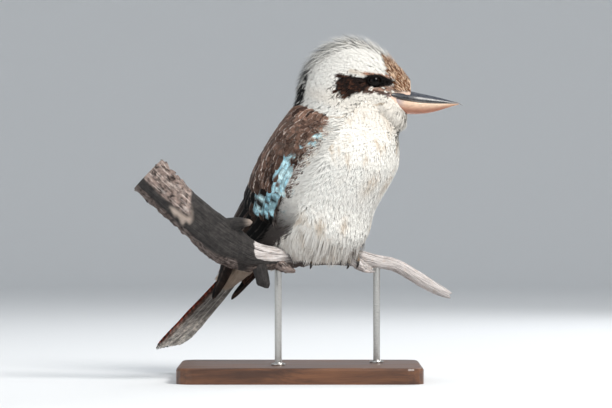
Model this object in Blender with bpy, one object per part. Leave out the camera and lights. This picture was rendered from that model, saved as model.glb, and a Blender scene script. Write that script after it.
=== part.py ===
"""A laughing kookaburra at life size, perched on a cut length of branch that a plain stand holds.

Metres, +Z up. The origin is on the floor, under the middle of the stand's base. The bird is drawn in its
own frame first, in millimetres: x forward of the neck's axis, y to its left and z above the floor. Each
part of it is then turned about the neck's axis, the body by BODY_YAW and the head by HEAD_YAW, so that the
bird looks along +X while its breast faces +X and -Y.
"""

import functools
import math
from dataclasses import dataclass

import bmesh
import bpy
import numpy as np
from mathutils import Vector
from mathutils.bvhtree import BVHTree

MM = 0.001
GAP = 0.3
PARTS, LOOSE = "kookaburra", "loose_pieces_and_cutters"
SHARP_ANGLE = 40

# Where the neck's axis stands, and how far the body and the head are turned to the bird's right
NECK_X, NECK_Y = 38.0, -14.0
BODY_YAW, HEAD_YAW = 36.0, 2.0


@dataclass(frozen=True)
class Section:
    """One cross-section of the bird: its points on the back and on the belly side, and half its width."""

    name: str
    dorsal: tuple
    ventral: tuple
    half_width: float
    yaw: float


# The coat's outer form, from the root of the tail to the face
BODY = [
    Section("tail_root", (-122, 133), (-106, 120), 14, BODY_YAW),
    Section("rump", (-118, 148), (-82, 117), 28, BODY_YAW),
    Section("vent", (-111, 165), (-48, 116), 41, BODY_YAW),
    Section("belly_low", (-103, 183), (-2, 126), 50, BODY_YAW),
    Section("belly", (-93, 201), (24, 141), 55, BODY_YAW),
    Section("breast_low", (-82, 219), (33, 168), 59, BODY_YAW),
    Section("breast", (-69, 238), (58, 206), 60, BODY_YAW),
    Section("shoulder", (-56, 255), (62, 230), 54, 33),
    Section("neck_base", (-48, 268), (57, 243), 44, 25),
    Section("neck", (-42, 280), (53, 251), 37, 14),
    Section("nape", (-36, 300), (55, 253), 35, 5),
    Section("hindcrown", (-23, 321), (60, 252.5), 35.5, HEAD_YAW),
    Section("crown", (2, 337), (66, 256), 34, HEAD_YAW),
    Section("forecrown", (31, 335), (69, 262), 26, HEAD_YAW),
    Section("forehead", (55, 319), (71, 267), 18.8, HEAD_YAW),
    Section("face", (69, 305), (72, 269.5), 15, HEAD_YAW),
    Section("bill_base", (73.5, 298), (74.5, 272), 12.8, HEAD_YAW),
]
NECK_START, HEAD_START, FACE = 7.55, 9.6, 16.0

# The sheet that a folded wing follows, from its tip to the shoulder
WING = [
    Section("tip", (-157, 87), (-139, 71), 15, BODY_YAW),
    Section("beside_tail", (-141, 112), (-117, 92), 23, BODY_YAW),
    Section("tail_root", (-129, 132), (-100, 108), 32, BODY_YAW),
    Section("rump", (-122, 149), (-80, 113), 41, BODY_YAW),
    Section("vent", (-114, 166), (-48, 114), 49, BODY_YAW),
    Section("belly_low", (-105, 184), (-2, 124), 55, BODY_YAW),
    Section("belly", (-95, 202), (24, 140), 59, BODY_YAW),
    Section("breast_low", (-84, 220), (33, 168), 62, BODY_YAW),
    Section("breast", (-71, 239), (58, 206), 62, BODY_YAW),
    Section("shoulder", (-58, 256), (62, 230), 56, 33),
    Section("neck_base", (-50, 269), (57, 243), 46, 25),
    Section("neck", (-45, 281), (53, 252), 42, 18),
]
# Angles round the body, from the back, of the wing's front and back edges at those sections
WING_FRONT = [98, 104, 108, 114, 118, 112, 104, 104, 103, 105, 104, 96]
WING_BACK = [82, 66, 50, 38, 30, 25, 21, 20, 22, 28, 36, 44]
WING_TOP = 10.4

# Tail: where it leaves the body, its slope below the horizontal, and its feathers
TAIL_ROOT = (-112.0, 129.0)
TAIL_SLOPE = 41.5
TAIL_PAIRS, TAIL_LENGTH, TAIL_HALF_WIDTH = 6, 158.0, 10.5
# Their thickness, how far each lies under the one before, and how they curve down to either side
TAIL_VANE, TAIL_STEP, TAIL_ARCH = 0.55, 0.88, 0.0025
# How far down the tail its feathers part from its root, and how much shorter each outer pair is
TAIL_FREE, TAIL_SHORTER = 20.0, 3.2

# Bill: heights of its ridge, of its cutting edges and of its lower edge, and its width, along its length
BILL_X = (46, 54, 62, 71, 80, 90, 100, 109, 116, 121)
BILL_RIDGE = (293.5, 293.0, 292.0, 290.4, 288.4, 286.2, 283.9, 281.6, 279.6, 278.2)
BILL_EDGE = (286.0, 284.2, 282.0, 280.2, 278.9, 278.0, 277.6, 277.5, 277.4, 277.2)
BILL_KEEL = (272.0, 269.4, 267.8, 267.0, 267.0, 268.0, 270.2, 273.0, 275.2, 276.5)
BILL_WIDTH = (20.0, 20.5, 18.6, 14.8, 11.3, 8.6, 6.4, 4.5, 3.0, 1.8)
UPPER_TIP, LOWER_TIP = (125.2, 275.4), (120.5, 276.9)
# The lower bill's width as a share of the upper one's, and the nostrils' place and half sizes
LOWER_BILL_SHARE = 0.93
NOSTRIL, NOSTRIL_RADII = (70.0, 8.6, 286.8), (2.6, 1.7, 0.8)

# Eye: place on the side of the head, the ball's radius and how much of it stands out
EYE = (37.5, 299.5)
EYE_RADIUS, EYE_SHOWS = 7.8, 2.9
# How far the eye turns from the cheek's own direction towards straight out to the side
EYE_TURN = 0.8

# Lines on the cheek: the mouth, which runs back from the bill's corner, and the feathers' crease under it
CHEEK_LINES = [
    [(40.0, 286.9), (44.0, 286.6), (48.5, 285.8), (53.0, 284.6)],
    [(31.0, 274.6), (37.0, 274.2), (43.5, 275.0), (50.0, 277.0)],
]
CHEEK_LINE_RADIUS = 0.9

# Perch: its centre line from the cut end to the broken tip, and its radius there
PERCH = [
    ((-150, -64, 206), 20.0),
    ((-129, -64, 186), 18.7),
    ((-100, -62, 160), 18.5),
    ((-75, -56, 139), 20.0),
    ((-54, -46, 127), 16.0),
    ((-36, -36, 124), 12.5),
    ((-18, -26, 123.5), 10.5),
    ((5, -14, 124), 9.0),
    ((30, -2, 124), 8.3),
    ((56, 10, 122.5), 8.4),
    ((76, 19, 119), 6.8),
    ((96, 27, 115), 6.5),
    ((116, 34, 104), 6.5),
    ((136, 40, 92), 5.8),
    ((155, 46, 82.5), 3.4),
]

# Stand
BASE_LENGTH, BASE_DEPTH, BASE_HEIGHT = 244.0, 168.0, 16.0
BASE_CORNER, BASE_EDGE = 16.0, 2.5
ROD_RADIUS, ROD_SOCKET = 3.5, 4.5
ROD_PLACES = {"stand_rod_left": 0.415, "stand_rod_right": 0.72}

COLOURS = {
    "white_coat": ((0.82, 0.76, 0.66), 0.85, 0.0),
    "brown_feather": ((0.10, 0.06, 0.04), 0.6, 0.0),
    "tail_feather": ((0.30, 0.14, 0.07), 0.6, 0.0),
    "bill_black": ((0.03, 0.03, 0.035), 0.3, 0.0),
    "bill_horn": ((0.75, 0.52, 0.36), 0.35, 0.0),
    "eye_dark": ((0.02, 0.01, 0.008), 0.05, 0.0),
    "foot_skin": ((0.16, 0.12, 0.09), 0.6, 0.0),
    "weathered_wood": ((0.33, 0.27, 0.23), 0.9, 0.0),
    "stand_wood": ((0.24, 0.13, 0.07), 0.45, 0.0),
    "stand_steel": ((0.60, 0.58, 0.55), 0.3, 1.0),
}


# Interpolation and frames


def spline(values, u):
    """A smooth curve through evenly numbered values, read at u, which may be an array."""
    values = np.asarray(values, float)
    u = np.clip(np.asarray(u, float), 0, len(values) - 1)
    low = np.minimum(u.astype(int), len(values) - 2)
    t = (u - low).reshape(u.shape + (1,) * (values.ndim - 1))
    before, after = np.maximum(low - 1, 0), np.minimum(low + 2, len(values) - 1)
    a, b, c, d = values[before], values[low], values[low + 1], values[after]
    return b + 0.5 * t * (c - a + t * (2 * a - 5 * b + 4 * c - d + t * (3 * (b - c) + d - a)))


def unit(vectors):
    """Vectors made one long."""
    vectors = np.asarray(vectors, float)
    return vectors / np.maximum(np.linalg.norm(vectors, axis=-1, keepdims=True), 1e-9)


def place(points, yaw):
    """Points of the bird's own frame, turned about the neck's axis and put where it stands."""
    points = np.asarray(points, float)
    angle = np.radians(yaw)
    x = points[..., 0] * np.cos(angle) + points[..., 1] * np.sin(angle)
    y = -points[..., 0] * np.sin(angle) + points[..., 1] * np.cos(angle)
    return np.stack([x + NECK_X, y + NECK_Y, points[..., 2]], -1)


class Form:
    """A surface lofted through sections. u counts them and v is the angle from the back, in degrees."""

    def __init__(self, sections):
        self.dorsal = [s.dorsal for s in sections]
        self.ventral = [s.ventral for s in sections]
        self.half_width = [s.half_width for s in sections]
        self.yaw = [s.yaw for s in sections]

    def point(self, u, v):
        """The point at u and v. v goes up to 180 down the bird's left side, and to -180 down its right."""
        u, v = np.broadcast_arrays(np.asarray(u, float), np.asarray(v, float))
        dorsal, ventral = spline(self.dorsal, u), spline(self.ventral, u)
        angle = np.radians(v)
        middle, reach = (dorsal + ventral) / 2, (dorsal - ventral) / 2
        flat = middle + reach * np.cos(angle)[..., None]
        side = spline(self.half_width, u) * np.sin(angle)
        return place(np.stack([flat[..., 0], side, flat[..., 1]], -1), spline(self.yaw, u))

    def frame(self, u, v):
        """(towards the head, round to the left, outwards) at u and v, as unit vectors."""
        step = 0.02
        along = unit(self.point(u + step, v) - self.point(u - step, v))
        around = unit(self.point(u, v + 1) - self.point(u, v - 1))
        return along, around, unit(np.cross(along, around))

    def plane(self, u):
        """The normal of the flat section at u, pointing towards the head."""
        back, left, belly = (self.point(u, v) for v in (0, 90, 180))
        return unit(np.cross(left - belly, back - belly))

    def ring(self, u, around, grow=0.0):
        """A ring of points at u, moved outwards by grow."""
        angles = np.arange(around) * 360 / around
        points = self.point(u, angles)
        return points + self.frame(u, angles)[2] * grow if grow else points


BODY_FORM, WING_FORM = Form(BODY), Form(WING)


# Mesh helpers


def material(name):
    """The plain material of that name."""
    found = bpy.data.materials.get(name)
    if found is None:
        colour, roughness, metallic = COLOURS[name]
        found = bpy.data.materials.new(name)
        found.use_nodes = True
        shader = found.node_tree.nodes["Principled BSDF"]
        shader.inputs["Base Color"].default_value = (*colour, 1)
        shader.inputs["Roughness"].default_value = roughness
        shader.inputs["Metallic"].default_value = metallic
    return found


def collection(name):
    """The collection of that name, made at its first use."""
    found = bpy.data.collections.get(name)
    if found is None:
        found = bpy.data.collections.new(name)
        bpy.context.scene.collection.children.link(found)
    return found


def solid(name, bm):
    """A mesh object made from bm, which is in millimetres, among the loose pieces and cutters."""
    bmesh.ops.scale(bm, vec=(MM, MM, MM), verts=bm.verts)
    mesh = bpy.data.meshes.new(name)
    bm.to_mesh(mesh)
    bm.free()
    made = bpy.data.objects.new(name, mesh)
    collection(LOOSE).objects.link(made)
    return made


def loft(name, rings, tip=None):
    """A closed solid through rings of points, ending flat, or in a point where tip is given."""
    bm = bmesh.new()
    loops = [[bm.verts.new(p) for p in ring] for ring in rings]
    count = len(loops[0])
    for near, far in zip(loops, loops[1:]):
        for i in range(count):
            j = (i + 1) % count
            bm.faces.new((near[i], near[j], far[j]))
            bm.faces.new((near[i], far[j], far[i]))
    bm.faces.new(loops[0][::-1])
    if tip is None:
        bm.faces.new(loops[-1])
    else:
        end = bm.verts.new(tip)
        for i in range(count):
            bm.faces.new((loops[-1][i], loops[-1][(i + 1) % count], end))
    bmesh.ops.triangulate(bm, faces=[f for f in bm.faces if len(f.verts) > 3])
    bmesh.ops.recalc_face_normals(bm, faces=bm.faces)
    return solid(name, bm)


def tube(name, path, radii, around, roughness=None, up=(0, 0, 1), tip=None):
    """A closed tube along a path. roughness, if any, gives each ring's radii as shares of its own."""
    path, up = np.asarray(path, float), np.asarray(up, float)
    tangents = unit(np.gradient(path, axis=0))
    across = unit(np.cross(tangents, up))
    over = np.cross(across, tangents)
    angles = np.radians(np.arange(around) * 360 / around)
    rings = []
    for i, centre in enumerate(path):
        share = 1.0 if roughness is None else roughness[i]
        spokes = np.outer(np.cos(angles), across[i]) + np.outer(np.sin(angles), over[i])
        rings.append(centre + spokes * (radii[i] * np.ones(around) * share)[:, None])
    return loft(name, rings, tip)


def ellipsoid(name, centre, radii, segments, rings):
    """A closed ellipsoid, its axes along those of the row."""
    bm = bmesh.new()
    bmesh.ops.create_uvsphere(bm, u_segments=segments, v_segments=rings, radius=1)
    bmesh.ops.scale(bm, vec=radii, verts=bm.verts)
    bmesh.ops.translate(bm, vec=centre, verts=bm.verts)
    return solid(name, bm)


def vane(path, side, out, half_widths, thickness):
    """One feather as a thin closed strip whose two faces are split into triangles alike."""
    path, side, out = np.asarray(path), unit(side), unit(out)
    bm = bmesh.new()
    rows = []
    for p, s, n, w in zip(path, side, out, half_widths):
        corners = (p - s * w + n * thickness / 2, p + s * w + n * thickness / 2)
        under = (p + s * w - n * thickness / 2, p - s * w - n * thickness / 2)
        rows.append([bm.verts.new(c) for c in corners + under])
    for a, b in zip(rows, rows[1:]):
        bm.faces.new((a[0], b[1], a[1]))
        bm.faces.new((a[0], b[0], b[1]))
        bm.faces.new((a[3], a[2], b[2]))
        bm.faces.new((a[3], b[2], b[3]))
        for i, j in ((1, 2), (3, 0)):
            bm.faces.new((a[i], b[i], b[j]))
            bm.faces.new((a[i], b[j], a[j]))
    for row in (rows[0], rows[-1]):
        bm.faces.new((row[0], row[1], row[2]))
        bm.faces.new((row[0], row[2], row[3]))
    bmesh.ops.recalc_face_normals(bm, faces=bm.faces)
    return solid("vane", bm)


def largest_only(made):
    """Keeps the largest closed surface of a mesh, so that no sealed hollow or loose scrap stays."""
    bm = bmesh.new()
    bm.from_mesh(made.data)
    left, groups = set(bm.verts), []
    while left:
        stack, group = [left.pop()], set()
        while stack:
            vert = stack.pop()
            group.add(vert)
            for edge in vert.link_edges:
                other = edge.other_vert(vert)
                if other in left:
                    left.discard(other)
                    stack.append(other)
        groups.append(group)

    def span(group):
        places = np.array([v.co for v in group])
        return float(np.prod(places.max(0) - places.min(0) + 1e-6))

    keep = max(groups, key=span)
    bmesh.ops.delete(bm, geom=[v for v in bm.verts if v not in keep], context="VERTS")
    bm.to_mesh(made.data)
    bm.free()


def combine(made, others, operation, solver="MANIFOLD"):
    """Joins others to made, or cuts them from it, and removes them."""
    group = bpy.data.collections.new("pieces")
    for other in others:
        for owner in list(other.users_collection):
            owner.objects.unlink(other)
        group.objects.link(other)
    bpy.context.scene.collection.children.link(group)
    step = made.modifiers.new("combine", "BOOLEAN")
    step.operand_type, step.collection = "COLLECTION", group
    step.operation, step.solver = operation, solver
    bpy.context.view_layer.update()
    graph = bpy.context.evaluated_depsgraph_get()
    mesh = bpy.data.meshes.new_from_object(made.evaluated_get(graph))
    made.modifiers.clear()
    old, made.data = made.data, mesh
    mesh.name = made.name
    bpy.data.meshes.remove(old)
    for other in others:
        bpy.data.objects.remove(other)
    bpy.data.collections.remove(group)
    bpy.context.view_layer.update()


def join(made, others):
    """Fuses others with made."""
    combine(made, others, "UNION")
    largest_only(made)
    return made


def cut(made, cutters):
    """Cuts the cutters from made."""
    combine(made, cutters, "DIFFERENCE")
    largest_only(made)
    return made


def dress(made, finish):
    """Puts a finished solid among the parts, with its material and smooth shading between sharp edges."""
    collection(LOOSE).objects.unlink(made)
    collection(PARTS).objects.link(made)
    made.data.materials.clear()
    made.data.materials.append(material(finish))
    made.data.shade_smooth()
    made.data.set_sharp_from_angle(angle=math.radians(SHARP_ANGLE))


# Perch


PERCH_AROUND, PERCH_RINGS = 12, 31


def perch_axis(count):
    """(points, radii) of the perch's centre line, evenly numbered."""
    u = np.linspace(0, len(PERCH) - 1, count)
    return spline([p for p, _ in PERCH], u), spline([r for _, r in PERCH], u)


def perch_roughness(count):
    """Shares of the radius for each ring: deep bark on the thick end, soft ridges on the thin one."""
    rng = np.random.default_rng(11)
    share = np.linspace(0, 1, count)[:, None]
    angles = np.radians(np.arange(PERCH_AROUND) * 360 / PERCH_AROUND)
    bark = np.clip((0.42 - share) / 0.1, 0.12, 1)
    waves = sum(
        np.sin(k * angles[None] + rng.uniform(0, 6.3) + share * rng.uniform(4, 30)) / k
        for k in (2, 3, 5)
    )
    grip = 1 - 0.8 * np.exp(-(((share - 0.56) / 0.09) ** 2))
    return 1 + grip * bark * (0.045 * waves + 0.035 * rng.standard_normal((count, PERCH_AROUND)))


def perch_solid(name, grow=0.0):
    """The perch's main tube, grown outwards by grow."""
    path, radii = perch_axis(PERCH_RINGS)
    rough = perch_roughness(PERCH_RINGS) + (grow / radii)[:, None]
    tangents = unit(path[[1, -1]] - path[[0, -2]])
    path[0] -= tangents[0] * grow
    path[-1] += tangents[1] * grow
    return tube(name, path, radii, PERCH_AROUND, roughness=rough)


def perch_stubs():
    """The broken side twigs: two short ones beside the wing and under the fork, and a low knot."""
    rng = np.random.default_rng(5)
    stubs = {
        "spur_up": ([(-84, -58, 148), (-72, -61, 154), (-60, -65, 158), (-47, -69, 159)], (11, 9, 6, 2.2)),
        "spur_down": ([(-42, -42, 122), (-39, -45, 110), (-36, -47, 98), (-36, -47, 95)], (9, 7, 6.3, 4.2)),
        "knot": ([(52, 4, 121), (63, 6, 114), (73, 8, 110)], (5, 5, 1.8)),
        "spur_low": ([(-24, -32, 118), (-14, -40, 113), (-5, -44, 110)], (6, 4, 1.4)),
    }
    made = []
    for name, (path, radii) in stubs.items():
        u = np.linspace(0, len(path) - 1, 6)
        rough = 1 + 0.08 * rng.standard_normal((len(u), 6))
        made.append(tube(name, spline(path, u), spline(radii, u), 6, roughness=rough, up=(0, 1, 0.2)))
    return made


def knot_hole():
    """The small dark hole on the near side of the thin end."""
    return ellipsoid("knot_hole", (57, 0.4, 121), (4.2, 3.0, 1.9), 10, 6)


def rod_foot(share):
    """(point of the perch's axis, its radius) over a rod."""
    u = share * (len(PERCH) - 1)
    return spline([p for p, _ in PERCH], u), float(spline([r for _, r in PERCH], u))


def rod_solid(name, share, grow=0.0):
    """A straight rod from the base into its socket in the perch."""
    centre, radius = rod_foot(share)
    top = centre[2] - radius + ROD_SOCKET
    low = BASE_HEIGHT - ROD_SOCKET
    bm = bmesh.new()
    bmesh.ops.create_cone(
        bm, cap_ends=True, segments=16, radius1=ROD_RADIUS + grow, radius2=ROD_RADIUS + grow,
        depth=top - low + 2 * grow,
    )
    bmesh.ops.translate(bm, vec=(centre[0], centre[1], (top + low) / 2), verts=bm.verts)
    return solid(name, bm)


def make_perch():
    """The perch with its twigs, its knot hole and the sockets of the rods."""
    made = join(perch_solid("perch_branch"), perch_stubs())
    cut(made, [knot_hole()] + [rod_solid("socket", share, GAP) for share in ROD_PLACES.values()])
    dress(made, "weathered_wood")


def make_stand():
    """The flat base with its rounded corners, and the two rods."""
    bm = bmesh.new()
    bmesh.ops.create_cube(bm, size=1)
    bmesh.ops.scale(bm, vec=(BASE_LENGTH, BASE_DEPTH, BASE_HEIGHT), verts=bm.verts)
    bmesh.ops.translate(bm, vec=(0, 0, BASE_HEIGHT / 2), verts=bm.verts)
    upright = [e for e in bm.edges if abs(e.verts[0].co.z - e.verts[1].co.z) > 1]
    bmesh.ops.bevel(bm, geom=upright, offset=BASE_CORNER, segments=4, profile=0.5, affect="EDGES")
    rim = [e for e in bm.edges if min(v.co.z for v in e.verts) > BASE_HEIGHT - 0.1]
    bmesh.ops.bevel(bm, geom=rim, offset=BASE_EDGE, segments=2, profile=0.5, affect="EDGES")
    base = solid("stand_base", bm)
    cut(base, [rod_solid("socket", share, GAP) for share in ROD_PLACES.values()])
    dress(base, "stand_wood")
    for name, share in ROD_PLACES.items():
        dress(rod_solid(name, share), "stand_steel")


# Feet


# Each foot: its place along the perch and which way its outer toes spread along it
FEET = {"right": (0.512, -1.0), "left": (0.607, 1.0)}
TOE_RADIUS, CLAW_LENGTH, SHANK_RADIUS = 2.5, 8.0, 3.3
# Each toe thins by this share towards its claw, and lies this much further out than the perch's radius
TOE_THINS, TOE_OUT = 0.22, 1.03
# Room that the coat leaves round the shank, and round the perch as a share of its radius and beyond it
SHANK_ROOM, SLEEVE_SHARE, SLEEVE_ROOM = 0.9, 1.05, 0.6
# Each toe: where it starts along the perch, how far it slants, and its first and last angle from the top
TOES = {
    "inner": (2.9, 2.2, 12, 96),
    "middle": (-1.4, -0.6, 8, 118),
    "outer": (-5.4, -4.6, 10, 104),
    "hind": (-0.5, 1.0, -10, -84),
}


def perch_frame(share):
    """(centre, radius, along, forward, up) of the perch where a foot grips it."""
    u = share * (len(PERCH) - 1)
    points = [p for p, _ in PERCH]
    centre, radius = spline(points, u), float(spline([r for _, r in PERCH], u))
    along = unit(spline(points, u + 0.1) - spline(points, u - 0.1))
    forward = unit(np.cross(along, (0, 0, 1)))
    return centre, radius, along, forward, np.cross(forward, along)


def foot_pieces(side):
    """The toes with their claws, which curl round the perch, and the shank of one foot."""
    share, spread = FEET[side]
    pieces = []
    for name, (start, slant, first, last) in TOES.items():
        angles = np.radians(np.linspace(first, last, 6))
        path, radii = [], []
        for i, angle in enumerate(angles):
            along_by = (start + slant * i / 5) * -spread
            step = 1 / (len(PERCH) - 1) / 24
            centre, radius, _, forward, up = perch_frame(share + along_by * step)
            lift = radius * TOE_OUT + TOE_RADIUS + GAP
            path.append(centre + lift * (np.sin(angle) * forward + np.cos(angle) * up))
            radii.append(TOE_RADIUS * (1 - TOE_THINS * i / 5))
        turn = unit(path[-1] - path[-2])
        inward = unit(perch_frame(share)[0] - path[-1])
        claw = [path[-1] + CLAW_LENGTH * t * unit(turn + inward * 0.25 * t) for t in (0.33, 0.66)]
        point = path[-1] + CLAW_LENGTH * unit(turn + inward * 0.3)
        whole = np.array(path + claw)
        radii = np.array(radii + [1.5, 1.0])
        across = perch_frame(share)[2]
        pieces.append(tube(f"{name}_toe", whole, radii, 7, up=across, tip=point))
    centre, radius, _, forward, up = perch_frame(share)
    ankle = centre + (radius + TOE_RADIUS) * up
    shank = [ankle - 0.8 * up, ankle + 5 * up, ankle + 15 * up - 4 * forward]
    pieces.append(tube("shank", shank, np.full(3, SHANK_RADIUS), 8, up=forward))
    return pieces


def make_feet():
    """Both feet, each fused into one piece."""
    for side in FEET:
        toes = foot_pieces(side)
        shank = toes.pop()
        shank.name = f"foot_{side}"
        dress(join(shank, toes), "foot_skin")


def sleeve():
    """The space round the perch that the coat leaves free, wider where the toes lie."""
    share = np.linspace(0.26, 0.82, 20)
    u = share * (len(PERCH) - 1)
    radii = spline([r for _, r in PERCH], u) * SLEEVE_SHARE + SLEEVE_ROOM
    for place_along, _ in FEET.values():
        near = np.clip((0.056 - np.abs(share - place_along)) / 0.014, 0, 1)
        radii = radii + near * (2 * TOE_RADIUS + 1.0)
    return tube("sleeve", spline([p for p, _ in PERCH], u), radii, 10)


def shank_clearance(side):
    """The space round one shank."""
    centre, radius, _, forward, up = perch_frame(FEET[side][0])
    steps = ((-2, 0), (8, 0), (19, -4.6))
    path = [centre + (radius + high) * up + ahead * forward for high, ahead in steps]
    return tube("shank_clearance", path, np.full(3, SHANK_RADIUS + SHANK_ROOM), 8, up=forward)


# Legs: the feathered thighs, which part the belly's coat on either side

THIGH_CENTRE, THIGH_RADII, THIGH_TILT = (-27, 32, 149), (24.0, 18.5, 26.0), -12.0


def thigh_solid(name, side, grow=0.0):
    """The feathered thigh of one side."""
    sign = 1 if side == "left" else -1
    centre = place((THIGH_CENTRE[0], sign * THIGH_CENTRE[1], THIGH_CENTRE[2]), BODY_YAW)
    made = ellipsoid(name, (0, 0, 0), tuple(r + grow for r in THIGH_RADII), 14, 9)
    made.rotation_euler = (0, math.radians(THIGH_TILT), -math.radians(BODY_YAW))
    made.location = Vector(centre) * MM
    bpy.context.view_layer.update()
    made.data.transform(made.matrix_world)
    made.rotation_euler, made.location = (0, 0, 0), (0, 0, 0)
    bpy.context.view_layer.update()
    return made


def make_legs():
    """Both feathered thighs, cut clear of the feet and the perch."""
    for side in FEET:
        made = thigh_solid(f"leg_{side}", side)
        cut(made, [sleeve()])
        cut(made, [shank_clearance(side)])
        dress(made, "white_coat")


# Torso, neck and head


BODY_AROUND, BODY_STEP = 24, 0.5


def body_length(name, start, end, start_gap=0.0, end_gap=0.0, grow=0.0):
    """One length of the body's form, its flat ends drawn in by the gaps given, grown outwards by grow."""
    inner = [u for u in np.arange(0, FACE, BODY_STEP) if start + 0.2 < u < end - 0.2]
    rings = [BODY_FORM.ring(u, BODY_AROUND, grow) for u in [start, *inner, end]]
    rings[0] = rings[0] + BODY_FORM.plane(start) * start_gap
    rings[-1] = rings[-1] - BODY_FORM.plane(end) * end_gap
    return loft(name, rings)


def make_torso():
    """The torso, cut clear of the thighs, the feet and the perch."""
    torso = body_length("torso", 0, NECK_START, end_gap=GAP / 2)
    for cutter in [sleeve(), *(shank_clearance(side) for side in FEET)]:
        cut(torso, [cutter])
    for side in FEET:
        cut(torso, [thigh_solid("thigh_clearance", side, GAP)])
    dress(torso, "white_coat")


def make_neck():
    """The neck, between two thin cuts."""
    dress(body_length("neck", NECK_START, HEAD_START, GAP / 2, GAP / 2), "white_coat")


# Rows of the crown's feathers: the place along the head, how many stand across, how far round they reach
CREST_ROWS = [
    (13.9, 3, 26, 15, 5),
    (13.1, 4, 44, 20, 8),
    (12.3, 5, 62, 24, 10),
    (11.5, 6, 76, 26, 10),
    (10.8, 5, 72, 26, 8.5),
    (10.2, 6, 92, 23, 6),
]
# Half of a crest feather's width from its root to its tip, its thickness, and how it turns off the midline
CREST_WIDTHS, CREST_THICKNESS, CREST_DRIFT = (2.4, 2.6, 1.9, 0.35), 0.9, 0.01
# How deep a crest feather is rooted in the head
CREST_ROOT = -2.5


def surface_path(form, u, v, length, heights, drift=0.0):
    """(path, side, out) of a feather that starts at u and v and lies back along the form towards the tail.

    Its height over the form runs through heights, and drift turns it round the body, in degrees per step.
    """
    count = len(heights)
    points, sides, outs = [], [], []
    for height in heights:
        along, around, out = form.frame(u, v)
        points.append(form.point(u, v) + out * height)
        sides.append(around)
        outs.append(out)
        stride = np.linalg.norm(form.point(u + 0.05, v) - form.point(u - 0.05, v)) / 0.1
        u -= length / (count - 1) / max(stride, 1.0)
        v += drift
    return np.array(points), np.array(sides), np.array(outs)


def tilted_out(path, side):
    """Outward normals square to a path and to its side vectors."""
    along = unit(np.gradient(path, axis=0))
    return unit(np.cross(side, along))


def crest_vanes():
    """The shaggy feathers of the crown and nape, each a flat tapered lock raised off the head."""
    rng = np.random.default_rng(3)
    made = []
    for u, count, reach, length, lift in CREST_ROWS:
        for i in range(count):
            v = -reach + 2 * reach * (i + 0.5) / count + rng.uniform(-3, 3)
            long = length * rng.uniform(0.85, 1.1)
            low = 1 - 0.35 * abs(v) / 90
            heights = np.array([0, 1.5, 4.6, 8.0]) / 8 * lift * low * rng.uniform(0.9, 1.1)
            heights[0] = CREST_ROOT
            start = u + rng.uniform(-0.1, 0.1)
            path, side, _ = surface_path(BODY_FORM, start, v, long, heights, drift=v * CREST_DRIFT)
            out = tilted_out(path, side)
            out *= np.sign((out * BODY_FORM.frame(u, v)[2]).sum(-1, keepdims=True))
            made.append(vane(path, side, out, CREST_WIDTHS, CREST_THICKNESS))
    return made


HEAD_FORM_RINGS, HEAD_FORM_AROUND = 24, 48


@functools.cache
def head_form():
    """The head's form as a surface that rays can be cast on."""
    count, rings = HEAD_FORM_AROUND, np.linspace(HEAD_START, FACE, HEAD_FORM_RINGS)
    points = [Vector(p) for u in rings for p in BODY_FORM.ring(u, count)]
    faces = [
        (i * count + j, i * count + (j + 1) % count, (i + 1) * count + (j + 1) % count, (i + 1) * count + j)
        for i in range(len(rings) - 1)
        for j in range(count)
    ]
    return BVHTree.FromPolygons(points, faces)


def cheek(side, x, z):
    """(point, normal, outward direction) on one side of the head, at x and z of the bird's own frame."""
    sign = 1 if side == "left" else -1
    start = Vector(place((x, 0, z), HEAD_YAW))
    outward = Vector(place((0, sign, 0), HEAD_YAW)) - Vector(place((0, 0, 0), HEAD_YAW))
    hit, normal, _, _ = head_form().ray_cast(start, outward)
    return hit, normal if normal.dot(outward) > 0 else -normal, outward


def side_of_head(side):
    """(centre of the eyeball, outward direction there), from the head's own surface."""
    hit, normal, outward = cheek(side, *EYE)
    facing = (normal + outward * EYE_TURN).normalized()
    return hit - facing * (EYE_RADIUS - EYE_SHOWS), facing


def eye_solid(name, side, grow=0.0):
    """One eyeball."""
    centre, _ = side_of_head(side)
    radius = EYE_RADIUS + grow
    return ellipsoid(name, centre, (radius, radius, radius), 15, 10)


def lid_solid(side):
    """The ring of the lids round one eye, which the face's feathers meet."""
    centre, facing = side_of_head(side)
    facing = np.array(facing)
    across = unit(np.cross((0, 0, 1), facing))
    over = np.cross(facing, across)
    angles = np.linspace(0, 2 * math.pi, 14, endpoint=False)
    rings = []
    for angle in angles:
        spoke = np.cos(angle) * across + 0.86 * np.sin(angle) * over
        middle = np.array(centre) + facing * 5.3 + spoke * 6.7
        ring = [
            middle + 1.25 * (np.cos(a) * unit(spoke) + np.sin(a) * facing)
            for a in np.radians((0, 72, 144, 216, 288))
        ]
        rings.append(ring)
    bm = bmesh.new()
    loops = [[bm.verts.new(p) for p in ring] for ring in rings]
    for i, near in enumerate(loops):
        far = loops[(i + 1) % len(loops)]
        for j in range(5):
            bm.faces.new((near[j], near[(j + 1) % 5], far[(j + 1) % 5], far[j]))
    bmesh.ops.recalc_face_normals(bm, faces=bm.faces)
    return solid("lid", bm)


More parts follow.
